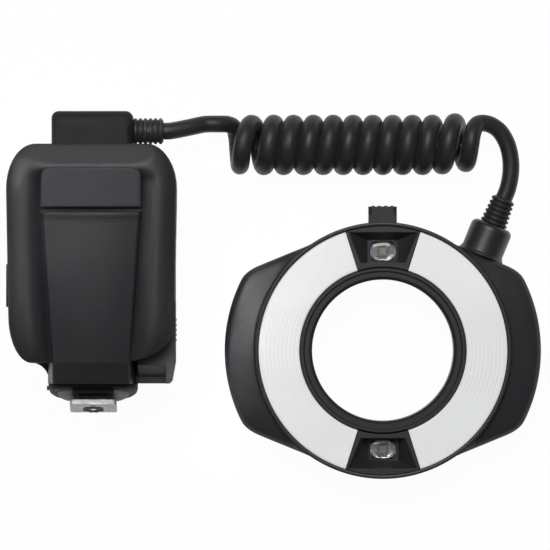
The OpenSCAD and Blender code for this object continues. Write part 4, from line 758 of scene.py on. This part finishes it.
DRESS = {
    SHELL: ["front_shell", "front_panel"],
    PLATE: ["front_plate"],
    EAR: ["ring_front_cover"],
    # The rear shell and battery door take the lighter copy of the charcoal plastic, whose extra lightness is
    # painted light
    REAR_PAINTED_LIGHT: ["rear_shell", "battery_door"],
    PLUG: ["connector_housing", "foot_base", "contact_block"],
    BOSS: ["cord_boss"],
    BLACK: ["control_panel", "ring_rear_cover", "power_socket", "power_socket_cover",
            "lock_lever", "select_dial", "battery_holder", "release_button"],
    INNER: ["upper_lamp_housing", "lower_lamp_housing", "inner_sleeve"],
    RELIEF: ["control_strain_relief", "ring_strain_relief"],
    SKIRT: ["weather_skirt"],
    WHITE: ["left_diffuser", "right_diffuser"],
    WINDOW: ["lcd_window"],
    LCD: ["lcd_module"],
    KEYS: ["mode_button", "set_button", "power_switch", "lock_release_button"],
    TEST_KEY: ["test_button"],
    LENS: ["upper_lamp_lens", "lower_lamp_lens"],
    STEEL: ["shoe_foot", "lock_pin"],
    CONTACT: ["contact_pins"],
}
# Word in a node's name, and its material, for nodes that DRESS leaves out
KINDS = [("screw", STEEL), ("spring", STEEL), ("pin", STEEL), ("latch", STEEL), ("contacts", STEEL),
         ("button", KEYS), ("leds", LAMP), ("board", BOARD), ("capacitor", CAN), ("tube", TUBE),
         ("reflector", BRIGHT), ("cord", CORD)]


def dress(name):
    """Material of a CAD node."""
    mesh = NODES[name].data
    mesh.materials.clear()
    for material, names in DRESS.items():
        if name in names:
            mesh.materials.append(material)
            return
    mesh.materials.append(next(material for word, material in KINDS if word in name))


for name in NODES:
    dress(name)
    soften(NODES[name].data)


# Floor, world and lights

def seen_white(tree, surface, share):
    """White, by a share, for camera, glossy and transmitted rays; a surface with its shadow is the rest."""
    path = tree.nodes.new("ShaderNodeLightPath")
    seen = path.outputs["Is Camera Ray"]
    for ray in ("Is Glossy Ray", "Is Transmission Ray"):
        more = tree.nodes.new("ShaderNodeMath")
        more.operation = "MAXIMUM"
        tree.links.new(seen, more.inputs[0])
        tree.links.new(path.outputs[ray], more.inputs[1])
        seen = more.outputs[0]
    part = tree.nodes.new("ShaderNodeMath")
    part.operation = "MULTIPLY"
    part.inputs[1].default_value = share
    tree.links.new(seen, part.inputs[0])
    white = tree.nodes.new("ShaderNodeEmission")
    white.inputs["Color"].default_value = (1.0, 1.0, 1.0, 1.0)
    white.inputs["Strength"].default_value = 1.0
    mix = tree.nodes.new("ShaderNodeMixShader")
    tree.links.new(part.outputs[0], mix.inputs[0])
    tree.links.new(surface.outputs[0], mix.inputs[1])
    tree.links.new(white.outputs[0], mix.inputs[2])
    return mix.outputs[0]


def make_floor():
    """White paper just under the object."""
    half, drop, albedo, bounce, share, rough = 2500.0, -0.2, 0.9, 0.3, 0.97, 0.9
    material = bpy.data.materials.new("floor_paper")
    material.use_nodes = True
    tree = material.node_tree
    bsdf = tree.nodes["Principled BSDF"]
    mix = tree.nodes.new("ShaderNodeMix")
    mix.data_type = "RGBA"
    mix.inputs[MIX_FIRST].default_value = (albedo, albedo, albedo, 1.0)
    mix.inputs[MIX_SECOND].default_value = (bounce, bounce, bounce, 1.0)
    tree.links.new(tree.nodes.new("ShaderNodeLightPath").outputs["Is Diffuse Ray"], mix.inputs["Factor"])
    tree.links.new(mix.outputs[MIX_RESULT], bsdf.inputs["Base Color"])
    bsdf.inputs["Roughness"].default_value = rough
    bsdf.inputs["Specular IOR Level"].default_value = 0.0
    tree.links.new(seen_white(tree, bsdf, share), tree.nodes["Material Output"].inputs["Surface"])
    corners = [(-half, -half, drop), (half, -half, drop), (half, half, drop), (-half, half, drop)]
    floor = mesh_piece("floor", corners, [(0, 1, 2, 3)], material, smooth=False)


def make_world():
    """Even, weak white light from all sides."""
    strength = 0.2
    world = bpy.data.worlds.new("studio")
    scene.world = world
    world.use_nodes = True
    background = world.node_tree.nodes["Background"]
    background.inputs["Color"].default_value = (1.0, 1.0, 1.0, 1.0)
    background.inputs["Strength"].default_value = strength


def area_light(name, place, aim, size, power, spread=180.0):
    """Lamp panel aimed at a point, in metres and watts; spread, in degrees, narrows its beam."""
    data = bpy.data.lights.new(name, "AREA")
    data.shape = "RECTANGLE"
    data.size, data.size_y = size
    data.energy = power
    data.spread = math.radians(spread)
    light = bpy.data.objects.new(name, data)
    light.location = place
    light.rotation_euler = (Vector(aim) - Vector(place)).to_track_quat("-Z", "Y").to_euler()
    scene.collection.objects.link(light)


make_floor()
make_world()
# The key comes from above the object's top edge; the other two brighten the unit's and the ring's left sides
area_light("key", place=(-0.05, 0.5, 1.05), aim=(0.0, 0.0, 0.02), size=(0.6, 0.6), power=10.3)
area_light("left_unit", place=(-0.55, 0.25, 0.62), aim=(-0.104, 0.036, 0.055), size=(0.1, 0.1),
           power=0.02, spread=8.0)
area_light("left_ring", place=(-0.31, 0.03, 0.85), aim=(-0.02, -0.02, 0.02), size=(0.09, 0.012),
           power=0.0045, spread=2.0)
scene.view_settings.view_transform = "Standard"
